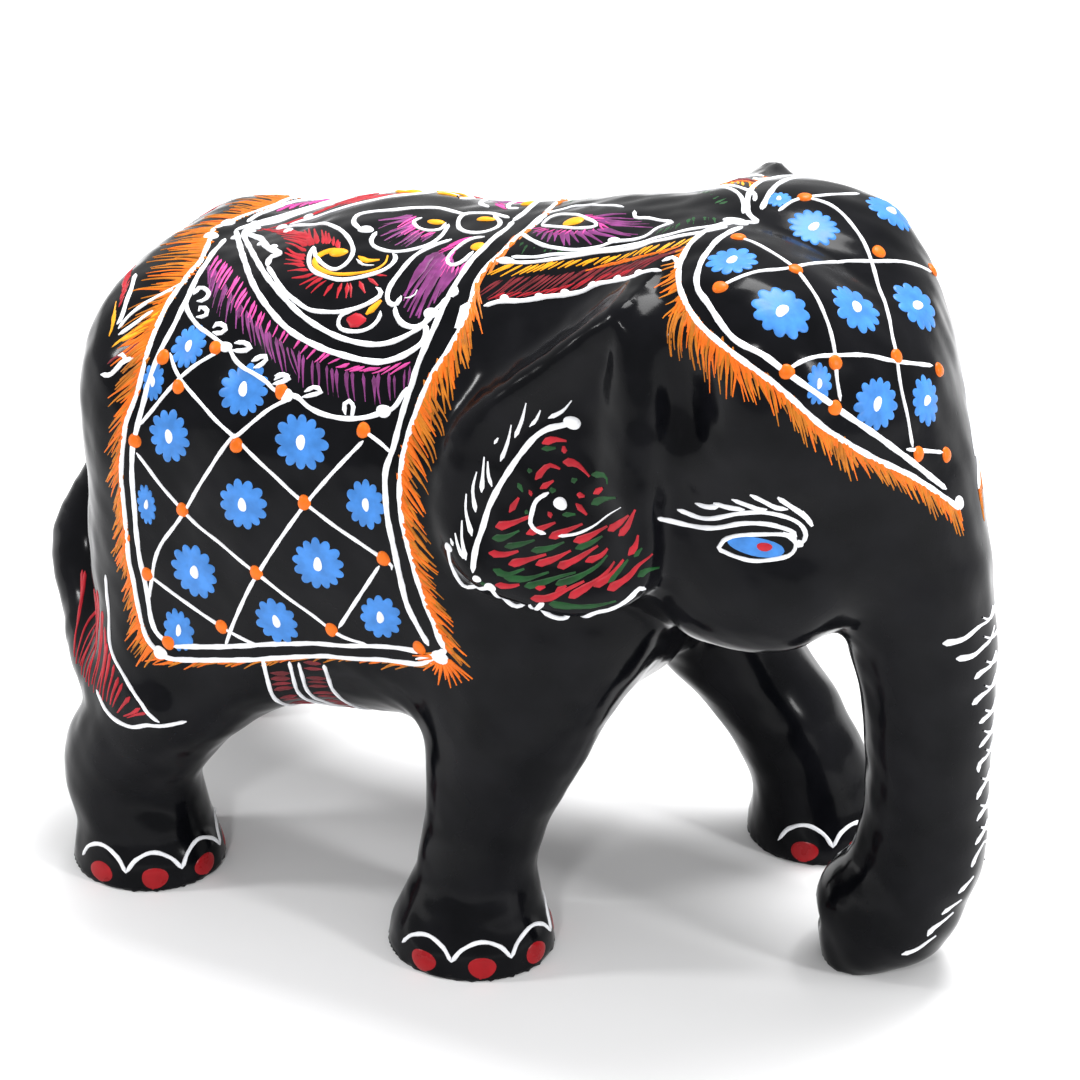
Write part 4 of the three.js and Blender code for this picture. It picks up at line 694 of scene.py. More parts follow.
("rump_leaf","H","R",9,0.69,0.18,0.5,1,[-48,-7.5,73.7,-45.8,-12.4,74.4,-44.9,-15.1,74,-44.6,-16.6,73.5],[-46.6,-12.6,73.9,-45.5,-15.4,73.6,-44.8,-17,73.2,-44.5,-17.8,72.8]),
("rump_leaf","H","Y",7,0.575,0.2,0.5,1,[-45.7,-16.1,73.1,-44.8,-17.9,72.6,-44.3,-19.1,72],[-44.8,-19,71.8,-44.3,-20,71.2,-44.2,-20.7,70.5]),
("rump_leaf","H","Y",12,0.632,0.2,0.5,1,[-37.9,-16.8,74.7,-37.4,-18.3,74,-38.3,-19.9,72.8,-39.6,-20.6,72.1,-40.8,-20.3,72.2],[-38.7,-19.1,73.4,-40,-19.9,72.7,-41.5,-21,71.4,-43,-21.6,70.2,-43.3,-21.9,69.5]),
("rump_leaf","H","O",10,0.575,0.18,0.5,1,[-37.7,-19,73.5,-38.2,-20.1,72.7,-38.9,-21.1,71.8,-40,-21.3,71.4],[-39.2,-20.6,72.2,-39.9,-21.4,71.2,-41,-21.9,70.5,-42.2,-21.9,70]),
("rump_leaf","H","D",9,0.575,0.16,0.5,1,[-38.4,-20.5,72.3,-39,-21.4,71.4,-40.1,-22.1,70.5,-41.3,-22.3,69.9],[-40.3,-22.2,70.3,-41.3,-22.7,69.3,-42.6,-22.8,68.6,-43.3,-22.9,67.8]),
("rump_leaf","L","W",0.632,0.26,0,0,1,[-39.6,-22.8,69.6,-40.9,-23,68.9,-41.5,-23.3,68.1,-42.4,-23.6,67.1,-43.8,-23.3,66.7],0),
("rump_leaf","L","W",0.575,0.25,0,0,1,[-40.7,-23.1,68.9,-41,-22.6,69.6,-41.8,-22.6,69.3],0),
("forehead_border","L","W",0.744,0.27,0,0,1,[32.4,1.1,91.5,27.8,-2.7,91.8,26,-8.3,91.7,26,-12.7,91,27.2,-16.3,90.2,29.6,-19.5,89,32.4,-21.3,87.5,36.5,-22.4,85.7,41.9,-22,82.5,46.6,-19.9,77.6,50.6,-16,73.2,54.3,-11.3,69.1,57.9,-5.7,63.3],0),
("forehead_border","L","W",0.744,0.27,0,0,1,[29.4,-3.3,91.9,28.6,-9.9,92,28.9,-14.2,91.4,30,-17.5,90.5,32,-19.2,89.6,36.1,-21.6,87.2,39.9,-21.6,85.8,42.5,-21.1,84,47.4,-18.3,79.5,52.1,-13.3,73.5,56.7,-7.3,66.4],0),
("forehead_border","O","W",0.9,0.8,0.35,0,0,[57.7,-5.6,64.1],0),
("forehead_net","L","W",0.504,0.22,0,0,0,[30.5,-7,92.2,34.7,-8.3,92.1,38.7,-10,91.2,41.8,-12.1,89.7,44.4,-14.1,87.4,45.9,-15.7,85.1,46.8,-17.1,82.5,47.6,-17.7,80.1],0),
("forehead_net","L","W",0.504,0.22,0,0,0,[32.9,6.5,92.2,36.6,6.5,91.8,40.1,4.5,90.4,42.8,2.2,88.5,46.2,-2.2,86.2,49.1,-6.6,84.1,50.4,-8.3,82.1,52,-9.7,78.4,53.6,-10.6,72.5],0),
("forehead_net","L","W",0.504,0.22,0,0,0,[32.7,-17.3,90.8,35.4,-13.8,91.7,38.5,-9.6,91.3,40.2,-2,89,43.9,2.7,87.9,46.1,6.5,86.5,47.3,10,84.2],0),
("forehead_net","L","W",0.504,0.22,0,0,0,[42.5,-21,84.2,43.5,-19.7,84.9,44.9,-17.8,85.1,46.4,-15.5,84.5,48.6,-12,83.4,50.6,-8.7,81.7,52.6,-2.9,79],0),
("forehead_net","L","W",0.504,0.22,0,0,0,[53.2,-11.6,72.6,55.6,-6,70.2],0),
("forehead_net","L","W",0.504,0.22,0,0,0,[31.3,2.5,91.8,32.2,5.6,92.2,34.6,8.1,92.1,37.2,12.7,91.2],0),
("forehead_net","O","O",0.912,0.912,0.42,0,0,[30.5,-7,92.2],0),
("forehead_net","O","O",0.912,0.912,0.42,0,0,[32.7,-17.3,90.8],0),
("forehead_net","O","O",0.912,0.912,0.42,0,0,[38.7,-10,91.2],0),
("forehead_net","O","O",0.912,0.912,0.42,0,0,[43.2,3.8,88.5],0),
("forehead_net","O","O",0.912,0.912,0.42,0,0,[32.9,6.5,92.2],0),
("forehead_net","O","O",0.912,0.912,0.42,0,0,[46.3,-16.4,84],0),
("forehead_net","O","O",0.912,0.912,0.42,0,0,[42.5,-21.1,84.1],0),
("forehead_net","O","O",0.912,0.912,0.42,0,0,[47.3,-18.4,79.5],0),
("forehead_net","O","O",0.912,0.912,0.42,0,0,[50.4,-8.3,82.1],0),
("forehead_net","O","O",0.912,0.912,0.42,0,0,[53,-1.8,78.1],0),
("forehead_net","O","O",0.912,0.912,0.42,0,0,[54.1,-10,71.5],0),
("forehead_net","O","O",0.912,0.912,0.42,0,0,[55.9,-5.4,69.7],0),
("forehead_net","O","O",0.912,0.912,0.42,0,0,[47,11.4,83.8],0),
("forehead_net","F","B",3.0,0.0,1.0,0,0,[32.1,-12.6,92],0),
("forehead_net","F","B",3.1,0.9,1.0,0,0,[36,1.8,91.1],0),
("forehead_net","F","B",3.4,1.8,1.0,0,0,[41.1,12.7,89.5],0),
("forehead_net","F","B",3.6,2.7,1.0,0,0,[40.2,-17.3,89.5],0),
("forehead_net","F","B",3.6,3.6,1.0,0,0,[45.4,-8.3,87.1],0),
("forehead_net","F","B",3.4,4.5,1.0,0,0,[49.1,0.9,84.1],0),
("forehead_net","F","B",2.4,5.4,0.7,0,0,[45.5,-19.1,82.4],0),
("forehead_net","F","B",3.2,6.3,1.0,0,0,[50.4,-13.7,78.6],0),
("forehead_net","F","B",2.8,7.2,1.0,0,0,[53.4,-6.2,76.3],0),
("forehead_net","F","B",1.6,8.1,1.0,0,0,[30.4,4.8,92.1],0),
("ear_outline*","L","W",0.713,0.27,0,0,1,[18.5,-24.1,74.4,17.1,-24.3,73.6,15.3,-24.6,72.9,13.8,-25,71.7,12.4,-25.6,69.7,11.1,-26.3,67.4,10,-26.9,65.2,9.1,-27.5,62.8,8.6,-28.1,60.3,8.1,-28.6,58.2,8,-29.1,56.4,8,-29.2,55.1],0),
("ear_outline*","O","W",1.15,0.75,0.38,0,1,[18,-24.2,74],0),
("ear_outline*","O","W",0.6,0.45,0.3,0,1,[8.4,-29.1,54.3],0),
("ear_outline*","L","W",0.713,0.27,1,0,1,[15.1,-24.3,74,16.7,-24,75.1,17.7,-23.6,76.5],0),
("ear_outline*","L","W",0.713,0.27,1,0,1,[13,-24.8,72.7,13.7,-24.5,73.6,14.2,-24.4,74.9],0),
("ear_outline*","L","W",0.713,0.27,1,0,1,[11.4,-25.2,71.2,12.1,-24.9,73.3,12.8,-25.2,75.8],0),
("ear_outline*","L","W",0.713,0.27,1,0,1,[9.2,-26,70.3,9.6,-25.8,71.1],0),
("ear_outline*","L","W",0.713,0.27,1,0,1,[10,-26.1,68.3,10.6,-25.5,70.4,11,-25.3,72.8],0),
("ear_outline*","L","W",0.713,0.27,1,0,1,[9.3,-27,65.3,8.8,-26.8,66.6,8.6,-26.5,68.2],0),
("ear_outline*","L","W",0.713,0.27,1,0,1,[8.2,-27.4,64.5,8.2,-27,66.6,8.2,-26.6,68.7],0),
("ear_outline*","L","W",0.713,0.27,1,0,1,[7.7,-28,62.1,7.2,-27.6,64.7,7.5,-27.1,66.9],0),
("ear_outline*","L","W",0.713,0.27,1,0,1,[7.5,-28.5,59.3,6.6,-28.3,62,6.5,-27.9,64.2],0),
("ear_outline*","L","W",0.713,0.27,1,0,1,[7.1,-29.2,56.5,6.4,-28.9,58.8,6.2,-28.5,61],0),
("ear_outline*","L","W",0.713,0.27,1,0,1,[6.8,-29.2,56.6,6,-29,57.9,5.5,-28.9,59.4],0),
("ear_outline*","L","W",0.713,0.27,1,0,1,[5.3,-29.1,57.8,4.9,-28.9,58.6],0),
("ear_outline*","L","W",0.575,0.26,0,0,1,[4.5,-28.9,57.4,4.4,-28,55,4.9,-27.1,52.6,6.1,-26.7,51.4,9.1,-28.7,53,10,-29.1,53.7],0),
("ear_outline*","L","W",0.632,0.26,0,0,1,[10,-29.1,53.7,10.4,-28.6,52.4,10.6,-26,50.3,12.3,-25.4,49.8,16.9,-29.1,53.2],0),
("ear_outline*","L","W",0.667,0.26,0,0,1,[15,-29,52.5,14.6,-24.2,49,16.8,-22.8,48.2,22.2,-28.5,52.5,25.1,-28.7,54,27,-28.8,55.5,28.4,-28.6,57.3,28.9,-27.5,56.9],0),
("ear_outline*","O","W",0.7,0.6,0.34,0,1,[4.5,-28.8,57.2],0),
("ear_outline*","O","W",0.75,0.6,0.34,0,1,[10,-29.1,53.5],0),
("ear_outline*","O","W",0.85,0.8,0.36,0,1,[17.7,-26.7,64.9],0),
("ear_outline*","L","W",0.575,0.26,0,0,1,[16.2,-26.5,65.9,14.8,-26.8,64.7,14.4,-27.2,63.2,14.4,-27.4,61.9,15.3,-27.5,61.3,16.4,-27.6,61.2],0),
("ear_outline*","L","W",0.483,0.24,1,0,1,[17.8,-27.5,61.2,20,-27.4,61.9,22,-27.1,63.2,23.6,-26.9,64.8,25.7,-27.6,66.7],0),
("ear_paint*","L","R",1.282,0.2,1,0,1,[14.7,-25.1,71.1,16,-24.9,71.8,17.6,-24.8,71.9],0),
("ear_paint*","L","R",1.282,0.2,1,0,1,[17.5,-25.2,70.5,17.3,-25,71.3],0),
("ear_paint*","L","R",1.282,0.2,1,0,1,[14.4,-26.2,67,15.7,-25.7,68.8,17.2,-25.7,68.7],0),
("ear_paint*","L","R",1.282,0.2,1,0,1,[17.4,-25.5,69.5,19,-25.4,69.6,20.9,-25.8,68.6],0),
("ear_paint*","L","R",1.282,0.2,1,0,1,[15.1,-26.4,66.1,16.6,-26.1,67.3],0),
("ear_paint*","L","R",1.282,0.2,1,0,1,[13.8,-26.7,65.3,14.2,-26.6,65.5],0),
("ear_paint*","L","R",1.282,0.2,1,0,1,[11.6,-27.4,62.7,12.6,-26.9,64.6],0),
("ear_paint*","L","R",1.282,0.2,1,0,1,[10.1,-27.8,60.7,12.2,-27.6,61.6,14.6,-27.2,63],0),
("ear_paint*","L","R",1.282,0.2,1,0,1,[14,-27.7,60.7,15.6,-27.5,61.6,17.4,-27.2,62.7],0),
("ear_paint*","L","R",1.282,0.2,1,0,1,[16.8,-27.6,60.8,18.6,-27.4,61.9,20.7,-27.1,63.2],0),
("ear_paint*","L","R",1.282,0.2,1,0,1,[19.8,-27.6,61,21.4,-27.4,61.8,23.7,-27.1,63.6],0),
("ear_paint*","L","R",1.282,0.2,1,0,1,[9.6,-28.5,57.6,11.4,-28.3,57.7,13.2,-28.1,58.5],0),
("ear_paint*","L","R",1.282,0.2,1,0,1,[12.1,-28.5,56.7,14.2,-28.2,57.6,16.6,-28,58.8],0),
("ear_paint*","L","R",1.282,0.2,1,0,1,[15.4,-28.2,57.3,17.5,-28,58.4,19.6,-27.8,59.9],0),
("ear_paint*","L","R",1.282,0.2,1,0,1,[18.1,-28.2,57.6,20.2,-27.9,58.9,22.8,-27.5,61.1],0),
("ear_paint*","L","R",1.282,0.2,1,0,1,[21.4,-27.9,58.9,23.2,-27.7,60,24,-27.6,61.1],0),
("ear_paint*","L","R",1.282,0.2,1,0,1,[10.7,-29.1,54,12.4,-29,54.2,13.7,-28.9,54.7],0),
("ear_paint*","L","R",1.282,0.2,1,0,1,[15.7,-28.9,54.7,16.9,-28.7,55.1],0),
("ear_paint*","L","R",1.282,0.2,1,0,1,[18.2,-28.8,54.8,19.5,-28.6,55.8],0),
("ear_paint*","L","R",1.282,0.2,1,0,1,[15.2,-29.1,53.3,17.4,-29,53.9,19.5,-28.7,55.3,21.6,-28.5,56.8],0),
("ear_paint*","L","R",1.282,0.2,1,0,1,[19.9,-29,54.5,21.7,-28.7,56,23.8,-28.4,58,25,-28.1,59.9],0),
("ear_paint*","L","R",1.282,0.2,1,0,1,[22.8,-28.7,56.5,24.4,-28.5,57.9,26.2,-28.3,60.5],0),
("ear_paint*","L","R",1.282,0.2,1,0,1,[24.6,-29,56.6,27,-28.9,58.7,28.2,-28.5,60.2,29.4,-27,61.3],0),
("ear_paint*","L","R",1.282,0.2,1,0,1,[25.3,-27.7,63,26.5,-27.8,64.6,27.4,-27.6,66.8],0),
("ear_paint*","L","R",1.282,0.2,1,0,1,[23.8,-27.2,63.1,25.2,-27.5,64.4,26.7,-27.8,66],0),
("ear_paint*","L","R",1.282,0.2,1,0,1,[26.8,-28.4,61.2,27.7,-28.2,62.5,27.9,-27.9,63.8],0),
("ear_paint*","L","R",1.282,0.2,1,0,1,[19.6,-26.3,66.3,20.6,-26.3,66.3],0),
("ear_paint*","L","R",1.282,0.2,1,0,1,[21.7,-26.3,66.9,22.9,-26.6,68],0),
("ear_paint*","L","R",1.282,0.2,1,0,1,[19.6,-26.6,65.3,21.1,-26.8,64.3],0),
("ear_paint*","L","R",1.282,0.2,1,0,1,[16.4,-27.1,63.3,16.9,-27,63.6],0),
("ear_paint*","L","G",1.215,0.16,1,0,1,[13.3,-26,67.8,13.9,-26,67.9],0),
("ear_paint*","L","G",1.215,0.16,1,0,1,[12.3,-26.5,66.2,13,-26.7,65.3],0),
("ear_paint*","L","G",1.215,0.16,1,0,1,[14.7,-25.3,70.5,16.4,-25.1,70.9],0),
("ear_paint*","L","G",1.215,0.16,1,0,1,[18.7,-26,67.6,19.4,-25.9,68],0),
("ear_paint*","L","G",1.215,0.16,1,0,1,[21.1,-25.8,68.9,23.1,-26.4,69.5,23.5,-26.8,68.7],0),
("ear_paint*","L","G",1.215,0.16,1,0,1,[21.5,-26.5,65.6,22.9,-26.7,66.6,24.9,-27.4,67.6],0),
("ear_paint*","L","G",1.215,0.16,1,0,1,[9.8,-28.1,59.3,11.3,-27.9,59.7,13.1,-27.7,60.9],0),
("ear_paint*","L","G",1.215,0.16,1,0,1,[11.4,-28.1,58.6,13.5,-27.9,59.4,15.1,-27.7,60.2],0),
("ear_paint*","L","G",1.215,0.16,1,0,1,[13.5,-27.2,63.2,14,-27.2,63.1],0),
("ear_paint*","L","G",1.215,0.16,1,0,1,[18.1,-27,63.7,19.7,-26.9,64.1],0),
("ear_paint*","L","G",1.215,0.16,1,0,1,[14.7,-28,58.8,16.9,-27.9,59.6,18.7,-27.6,60.7],0),
("ear_paint*","L","G",1.215,0.16,1,0,1,[20.1,-27.7,60.2,21.7,-27.6,61.1,23.2,-27.3,62.3],0),
("ear_paint*","L","G",1.215,0.16,1,0,1,[10.3,-28.8,55.8,12,-28.7,55.5,14.1,-28.4,56.6],0),
("ear_paint*","L","G",1.215,0.16,1,0,1,[11.7,-28.9,55.1,14.4,-28.7,55.5,17.1,-28.3,56.8],0),
("ear_paint*","L","G",1.215,0.16,1,0,1,[14.3,-28.9,54.6,16.1,-28.7,55.3,18.5,-28.4,56.6,20.4,-28.2,57.5],0),
("ear_paint*","L","G",1.215,0.16,1,0,1,[18.1,-28.6,55.6,20.5,-28.4,56.9,22.8,-28,58.7,24,-27.8,60.3],0),
("ear_paint*","L","G",1.215,0.16,1,0,1,[27.6,-28.5,61.2,28.5,-28,62.3],0),
("ear_paint*","L","G",1.215,0.16,1,0,1,[28.3,-28.7,58.9,29.3,-27.8,59.5,29.7,-25.7,59],0),
("ear_paint*","L","G",1.215,0.16,1,0,1,[17.5,-29.1,53.2,20.3,-29.1,53.5,23,-29.1,54.2,25.8,-29.1,55.4],0),
("ear_paint*","L","G",1.215,0.16,1,0,1,[24.5,-28.7,57.4,25.7,-28.5,59.1,26.8,-28.5,60.7],0),
("ear_paint*","L","G",1.215,0.16,1,0,1,[16.2,-26.4,66.1,17,-26.4,66.3],0),
("ear_paint*","L","G",1.215,0.16,1,0,1,[8.8,-29,53.8,9.6,-29.1,53.8],0),
]
EYE = np.array([[35.7, -23.4, 61.7], [36.3, -23.1, 62.8], [37.7, -22.8, 63.5], [39.9, -22.3, 63.9], [42.2, -21.4, 64.1], [43.4, -20.9, 63.7], [44.0, -20.7, 62.7], [43.5, -21.1, 61.6], [41.9, -22.0, 61.1], [39.7, -22.9, 60.8], [37.6, -23.3, 61.1], [36.3, -23.4, 61.5]])
EYE_PUPIL = [40.8, -22.2, 62.5]
LASHES = [([29.2, -25.5, 65.1, 31.3, -23.2, 63.7, 34.7, -23.0, 63.9, 38.2, -22.6, 65.0, 41.0, -21.9, 65.3, 43.4, -20.9, 64.5, 44.0, -20.6, 63.7], 0.58, 0), ([30.6, -23.3, 65.4, 32.6, -22.9, 64.8, 34.6, -22.9, 65.0, 37.6, -22.7, 66.1, 40.5, -22.2, 66.8, 42.7, -21.4, 66.4, 44.3, -20.6, 65.4, 44.9, -20.1, 64.0, 44.6, -20.3, 62.8], 0.55, 0), ([32.5, -22.9, 66.4, 34.0, -22.9, 66.3, 35.5, -23.0, 66.7], 0.66, 0), ([34.8, -23.0, 67.0, 36.6, -22.9, 66.7, 38.5, -22.6, 66.8], 0.6, 0), ([37.0, -23.0, 67.9, 39.0, -22.7, 67.4, 40.2, -22.3, 67.1, 41.0, -22.1, 67.3], 0.62, 0), ([39.2, -23.0, 69.0, 40.6, -22.5, 68.4, 41.9, -21.9, 67.6, 43.2, -21.4, 67.4], 0.66, 0), ([42.2, -22.2, 69.1, 43.5, -21.4, 67.8, 44.8, -20.4, 66.4, 45.6, -19.8, 65.1], 0.7, 0), ([45.5, -19.9, 65.0, 45.0, -20.3, 66.3, 44.6, -20.7, 67.1], 1.15, 1), ([44.1, -20.6, 63.3, 44.4, -20.5, 62.8, 44.7, -20.3, 62.6], 0.9, 0), ([42.6, -21.3, 64.3, 43.6, -20.8, 63.6, 44.1, -20.6, 62.8], 0.8, 0)]
TICKS = [[58.1, -10.3, 48.3, 59.8, -8.3, 48.2, 60.8, -5.9, 48.8, 61.2, -3.2, 48.7], [59.4, -9.0, 45.9, 60.7, -7.0, 45.6, 61.3, -5.1, 46.0, 61.4, -3.3, 46.2], [60.9, -6.7, 42.5, 61.3, -5.6, 42.9, 61.6, -3.4, 43.0], [61.0, -7.0, 39.2, 61.6, -5.4, 39.8, 61.8, -3.2, 39.9], [61.5, -6.0, 36.4, 61.8, -4.8, 36.6, 62.0, -3.2, 36.7], [61.6, -5.7, 33.0, 61.9, -4.6, 33.5, 62.1, -3.0, 34.0], [61.7, -5.4, 29.5, 61.7, -5.3, 30.7, 62.0, -3.8, 31.1], [61.6, -5.4, 25.8, 61.8, -4.7, 26.8, 62.0, -3.5, 27.3], [61.7, -5.1, 22.7, 61.9, -4.4, 23.3, 62.0, -3.4, 23.7], [61.6, -5.3, 19.6, 61.9, -3.8, 20.5], [61.3, -5.8, 16.8, 61.7, -4.9, 18.0], [60.4, -7.1, 13.6, 61.0, -6.2, 14.5], [58.9, -8.1, 10.7, 59.9, -7.2, 11.6], [57.6, -9.1, 7.9, 58.1, -8.7, 8.8, 59.2, -7.5, 9.7], [54.9, -10.4, 5.3, 56.4, -9.6, 5.9, 57.6, -8.9, 6.9]]
TAIL_W = [([-43.8, -24.7, 40.5, -43.1, -25.5, 32.1, -39.8, -27.7, 28.5, -34.2, -29.5, 24.9], 0.5, 0), ([-44.9, -26.5, 25.2, -42.6, -28.2, 23.5, -38.5, -29.3, 23.0, -35.6, -29.4, 24.1, -31.3, -28.0, 24.9], 0.55, 0)]
TAIL_A = [-51.5, -20.8, 26.2, -47.4, -24.7, 25.0, -43.7, -27.5, 24.6, -38.5, -29.2, 24.0]
TAIL_B = [-54.7, -12.7, 34.2, -46.8, -22.3, 36.5, -44.7, -24.2, 33.8, -43.0, -25.8, 30.9, -40.7, -27.5, 28.2, -37.9, -28.8, 26.7, -34.8, -29.6, 25.4]


def half(k):
    return (k, -1) if False else k


GROUPS = {}


def lay_deco():
    for g, k, col, a, b, c, d, m, P, Q in DECO:
        for side in (("right", "left") if g.endswith("*") else ("",)):
            name = g[:-1] + "_" + side if g.endswith("*") else g
            GROUPS.setdefault(name, []).append((side, k, col, a, b, c, d, m, P, Q))


class Group:
    """paint laid by one call goes to one named piece"""

    def __init__(self, name):
        self.name = name

    def __enter__(self):
        global PAINT
        self.keep = PAINT
        PAINT = PIECES.setdefault(self.name, {})
        return self

    def __exit__(self, *a):
        global PAINT
        ST.flush()
        DM.flush()
        PAINT = self.keep


PIECES = {}


def mirror_pts(P, on):
    P = np.array(P, float).reshape(-1, 3)
    return flip(P) if on else P


def emit(side, k, col, a, b, c, d, m, P, Q):
    """one stored stroke, on one side of the figure or on both"""
    if side == "" and m:
        sides = (False, True)
    elif side == "left":
        sides = (True,)
    else:
        sides = (False,)
    if k == "L":
        R = np.array(P, float).reshape(-1, 3)
        if m:
            R = clip_half(R)
        if len(R) < 2:
            return
        for f in sides:
            ST.add(col, flip(R) if f else R, a, b, c)
    elif k == "H":
        A, B = np.array(P, float).reshape(-1, 3), np.array(Q, float).reshape(-1, 3)
        for f in sides:
            hatch(col, a, b, c, d, 0, flip(A) if f else A, flip(B) if f else B)
    elif k == "O":
        for f in sides:
            dot(col, a, b, c, d, 0, mirror_pts(P, f)[0])
    elif k == "F":
        for f in sides:
            flower(a, b, c, 0, mirror_pts(P, f)[0])


lay_deco()
for name in GROUPS:
    with Group(name):
        for it in GROUPS[name]:
            emit(*it)

BORDER = {g: [np.array(P, float).reshape(-1, 3) for (s, k, c0_, a, b, c, d, m, P, Q) in GROUPS["saddle_border"] if k == "L"] for g in ("x",)}["x"]
REAR_OUT, REAR_IN, LOW_OUT, LOW_IN, FRONT_IN, FRONT_OUT = BORDER[:6]


def part_of(P, t0, t1, n=40):
    P = smooth(P, 400)
    return P[int(t0 * 399) : int(t1 * 399) + 1 : max(1, int((t1 - t0) * 399 / n))]


OCHRE = ["O", "A", "A"]
for side in ("right", "left"):
    f = side == "left"
    ff = lambda P: flip(P) if f else P
    dd = lambda v: (v[0], -v[1] if f else v[1], v[2])
    with Group("fringe_front_" + side):
        B = clip_half(FRONT_OUT)
        for t0, t1, n, L, lean in ((0.02, 0.22, 17, 5.6, (0.16, -0.5, -1)), (0.22, 0.45, 24, 5.6, (0.42, -0.2, -1)), (0.45, 0.75, 30, 5.4, (0.68, 0, -0.8)), (0.75, 1.0, 24, 4.6, (0.78, 0, -0.66))):
            fringe(OCHRE, ff(part_of(B, t0, t1)), int(n * 1.5), L, 0.72, 0.2, dd(lean), 0, 0.16)
            fringe("O", ff(part_of(B, t0, t1)), int(n * 1.1), L * 0.46, 1.1, 0.28, dd(lean), 0, 0.2)
        # burst at the lower corner
        for k in range(16):
            a = math.radians(-160 + k * 9.0 + rng.uniform(-4, 4))
            c0_ = np.array([2.6, -26.6, 41.4])
            L = rng.uniform(2.4, 4.2)
            P = np.array([c0_ + np.array([math.cos(a), 0, math.sin(a)]) * s for s in (0.4, 0.4 + L * 0.55, 0.4 + L)])
            ST.add("O", ff(P), 0.8, 0.26, 1)
        # short strokes along the bottom
        fringe(OCHRE, ff(LOW_OUT), 44, 3.0, 0.72, 0.2, dd((-0.85, 0, -0.42)), 0, 0.3)
    with Group("fringe_rear_" + side):
        B = clip_half(REAR_OUT)
        for t0, t1, n, L, lean in ((0.0, 0.25, 20, 6.4, (-0.9, -0.1, -0.6)), (0.25, 0.5, 27, 5.8, (-0.66, -0.1, -0.8)), (0.5, 0.8, 31, 4.9, (-0.52, 0, -0.86)), (0.8, 1.0, 22, 3.9, (-0.56, 0, -0.84))):
            fringe(OCHRE, ff(part_of(B, t0, t1)), int(n * 1.45), L, 0.72, 0.2, dd(lean), 0, 0.16)
            fringe("O", ff(part_of(B, t0, t1)), n, L * 0.42, 1.05, 0.26, dd(lean), 0, 0.2)
    with Group("forehead_fringe_" + side):
        FB = clip_half(np.array(GROUPS["forehead_border"][0][8], float).reshape(-1, 3))
        for t0, t1, n, L, lean in ((0.16, 0.34, 13, 3.4, (-0.5, -0.3, -0.8)), (0.30, 0.46, 22, 5.8, (0.05, -0.2, -1)), (0.44, 0.72, 36, 5.3, (0.42, -0.1, -0.95)), (0.70, 1.0, 36, 4.5, (0.55, 0.1, -0.9))):
            fringe(OCHRE, ff(part_of(FB, t0, t1)), int(n * 1.3), L, 0.66, 0.18, dd(lean), 0, 0.16)
            fringe("O", ff(part_of(FB, t0, t1)), int(n * 0.9), L * 0.42, 1.0, 0.26, dd(lean), 0, 0.2)

# eyes and brows
for side in ("right", "left"):
    f = side == "left"
    ff = lambda P: flip(np.array(P, float)) if f else np.array(P, float)
    with Group("eye_" + side):
        e = ff(EYE)
        ST.add("W", np.vstack([e, e[:2]]), 0.5, 0.3, 0)
        c = e.mean(0)
        DM.add("B", c, (1, 0, -0.05), oval(3.7, 1.2, 0, 26, 0.02), 0.14)
        DM.add("R", ff([EYE_PUPIL])[0], (1, 0, 0), oval(1.0, 0.6, 0, 16, 0.03), 0.26)
    with Group("brow_" + side):
        for l, w, t in LASHES:
            ST.add("W", ff(np.array(l).reshape(-1, 3)), w, 0.26, t)

# feet: a scalloped line and five nails on each
FEET = {"hind_right": (-41.3, -21.4, 9.5, -1), "fore_right": (3.6, -21.6, 10.0, -1), "fore_left": (32, 20, 9.2, 1), "hind_left": (-53, 20, 9.3, 1)}
NAILS = (-80, -34, 12, 56, 101)
for foot, (fx, fy, fr, sd) in FEET.items():
    on = lambda deg, z: [fx + fr * math.cos(math.radians(deg)), fy + sd * fr * math.sin(math.radians(deg)), z]
    with Group("toe_line_" + foot):
        edges = [-103] + [(a + b) / 2 for a, b in zip(NAILS[:-1], NAILS[1:])] + [124]
        for a, b in zip(edges[:-1], edges[1:]):
            P = []
            for k in range(9):
                u = k / 8
                P.append(on(a + (b - a) * u, 2.6 + 2.9 * math.sin(math.pi * u) ** 0.6))
            ST.add("W", P, 0.55, 0.26, 0)
    for i, a in enumerate(NAILS):
        with Group("toenail_%s_%d" % (foot, i + 1)):
            DM.add("N", on(a, 1.9), (-math.sin(math.radians(a)), sd * math.cos(math.radians(a)), 0), oval(1.9, 1.45, 0, 22, 0.03), 0.16)

# trunk: comma strokes climbing the front, from both sides
for f, side in ((False, "right"), (True, "left")):
    with Group("trunk_strokes_" + side):
        for i, q in enumerate(TICKS):
            P = np.array(q, float).reshape(-1, 3)
            if len(P) < 1:
                continue
            P = np.vstack([P, P[-1] + (np.array([0.5, 1.7, 1.0]) if i < 11 else np.array([0.5, 1.0, 0.7]))])
            ST.add("W", flip(P) if f else P, 0.95, 0.3, 1)

# girth band under the belly: two dark red stripes between white lines
with Group("girth_band"):
    for x0, col, w in ((-21.5, "W", 0.55), (-19.8, "D", 2.4), (-18.2, "W", 0.5), (-17.0, "W", 0.5), (-15.3, "D", 2.4), (-13.8, "W", 0.55)):
        P = []
        for k in range(15):
            t = k / 14 * math.pi
            P.append([x0 + 0.6 * math.sin(t), -25.6 * math.cos(t), 34 - 13.5 * math.sin(t) ** 0.8])
        P[0][2] = P[-1][2] = 35.5
        if col == "W":
            ST.add("W", P, w, 0.26, 0)
        else:
            C = np.array(P)
            hatch("D", 44, 0.9, 0.16, 0.5, 0, C - np.array([w / 2, 0, 0]), C + np.array([w / 2, 0, 0]), 0)

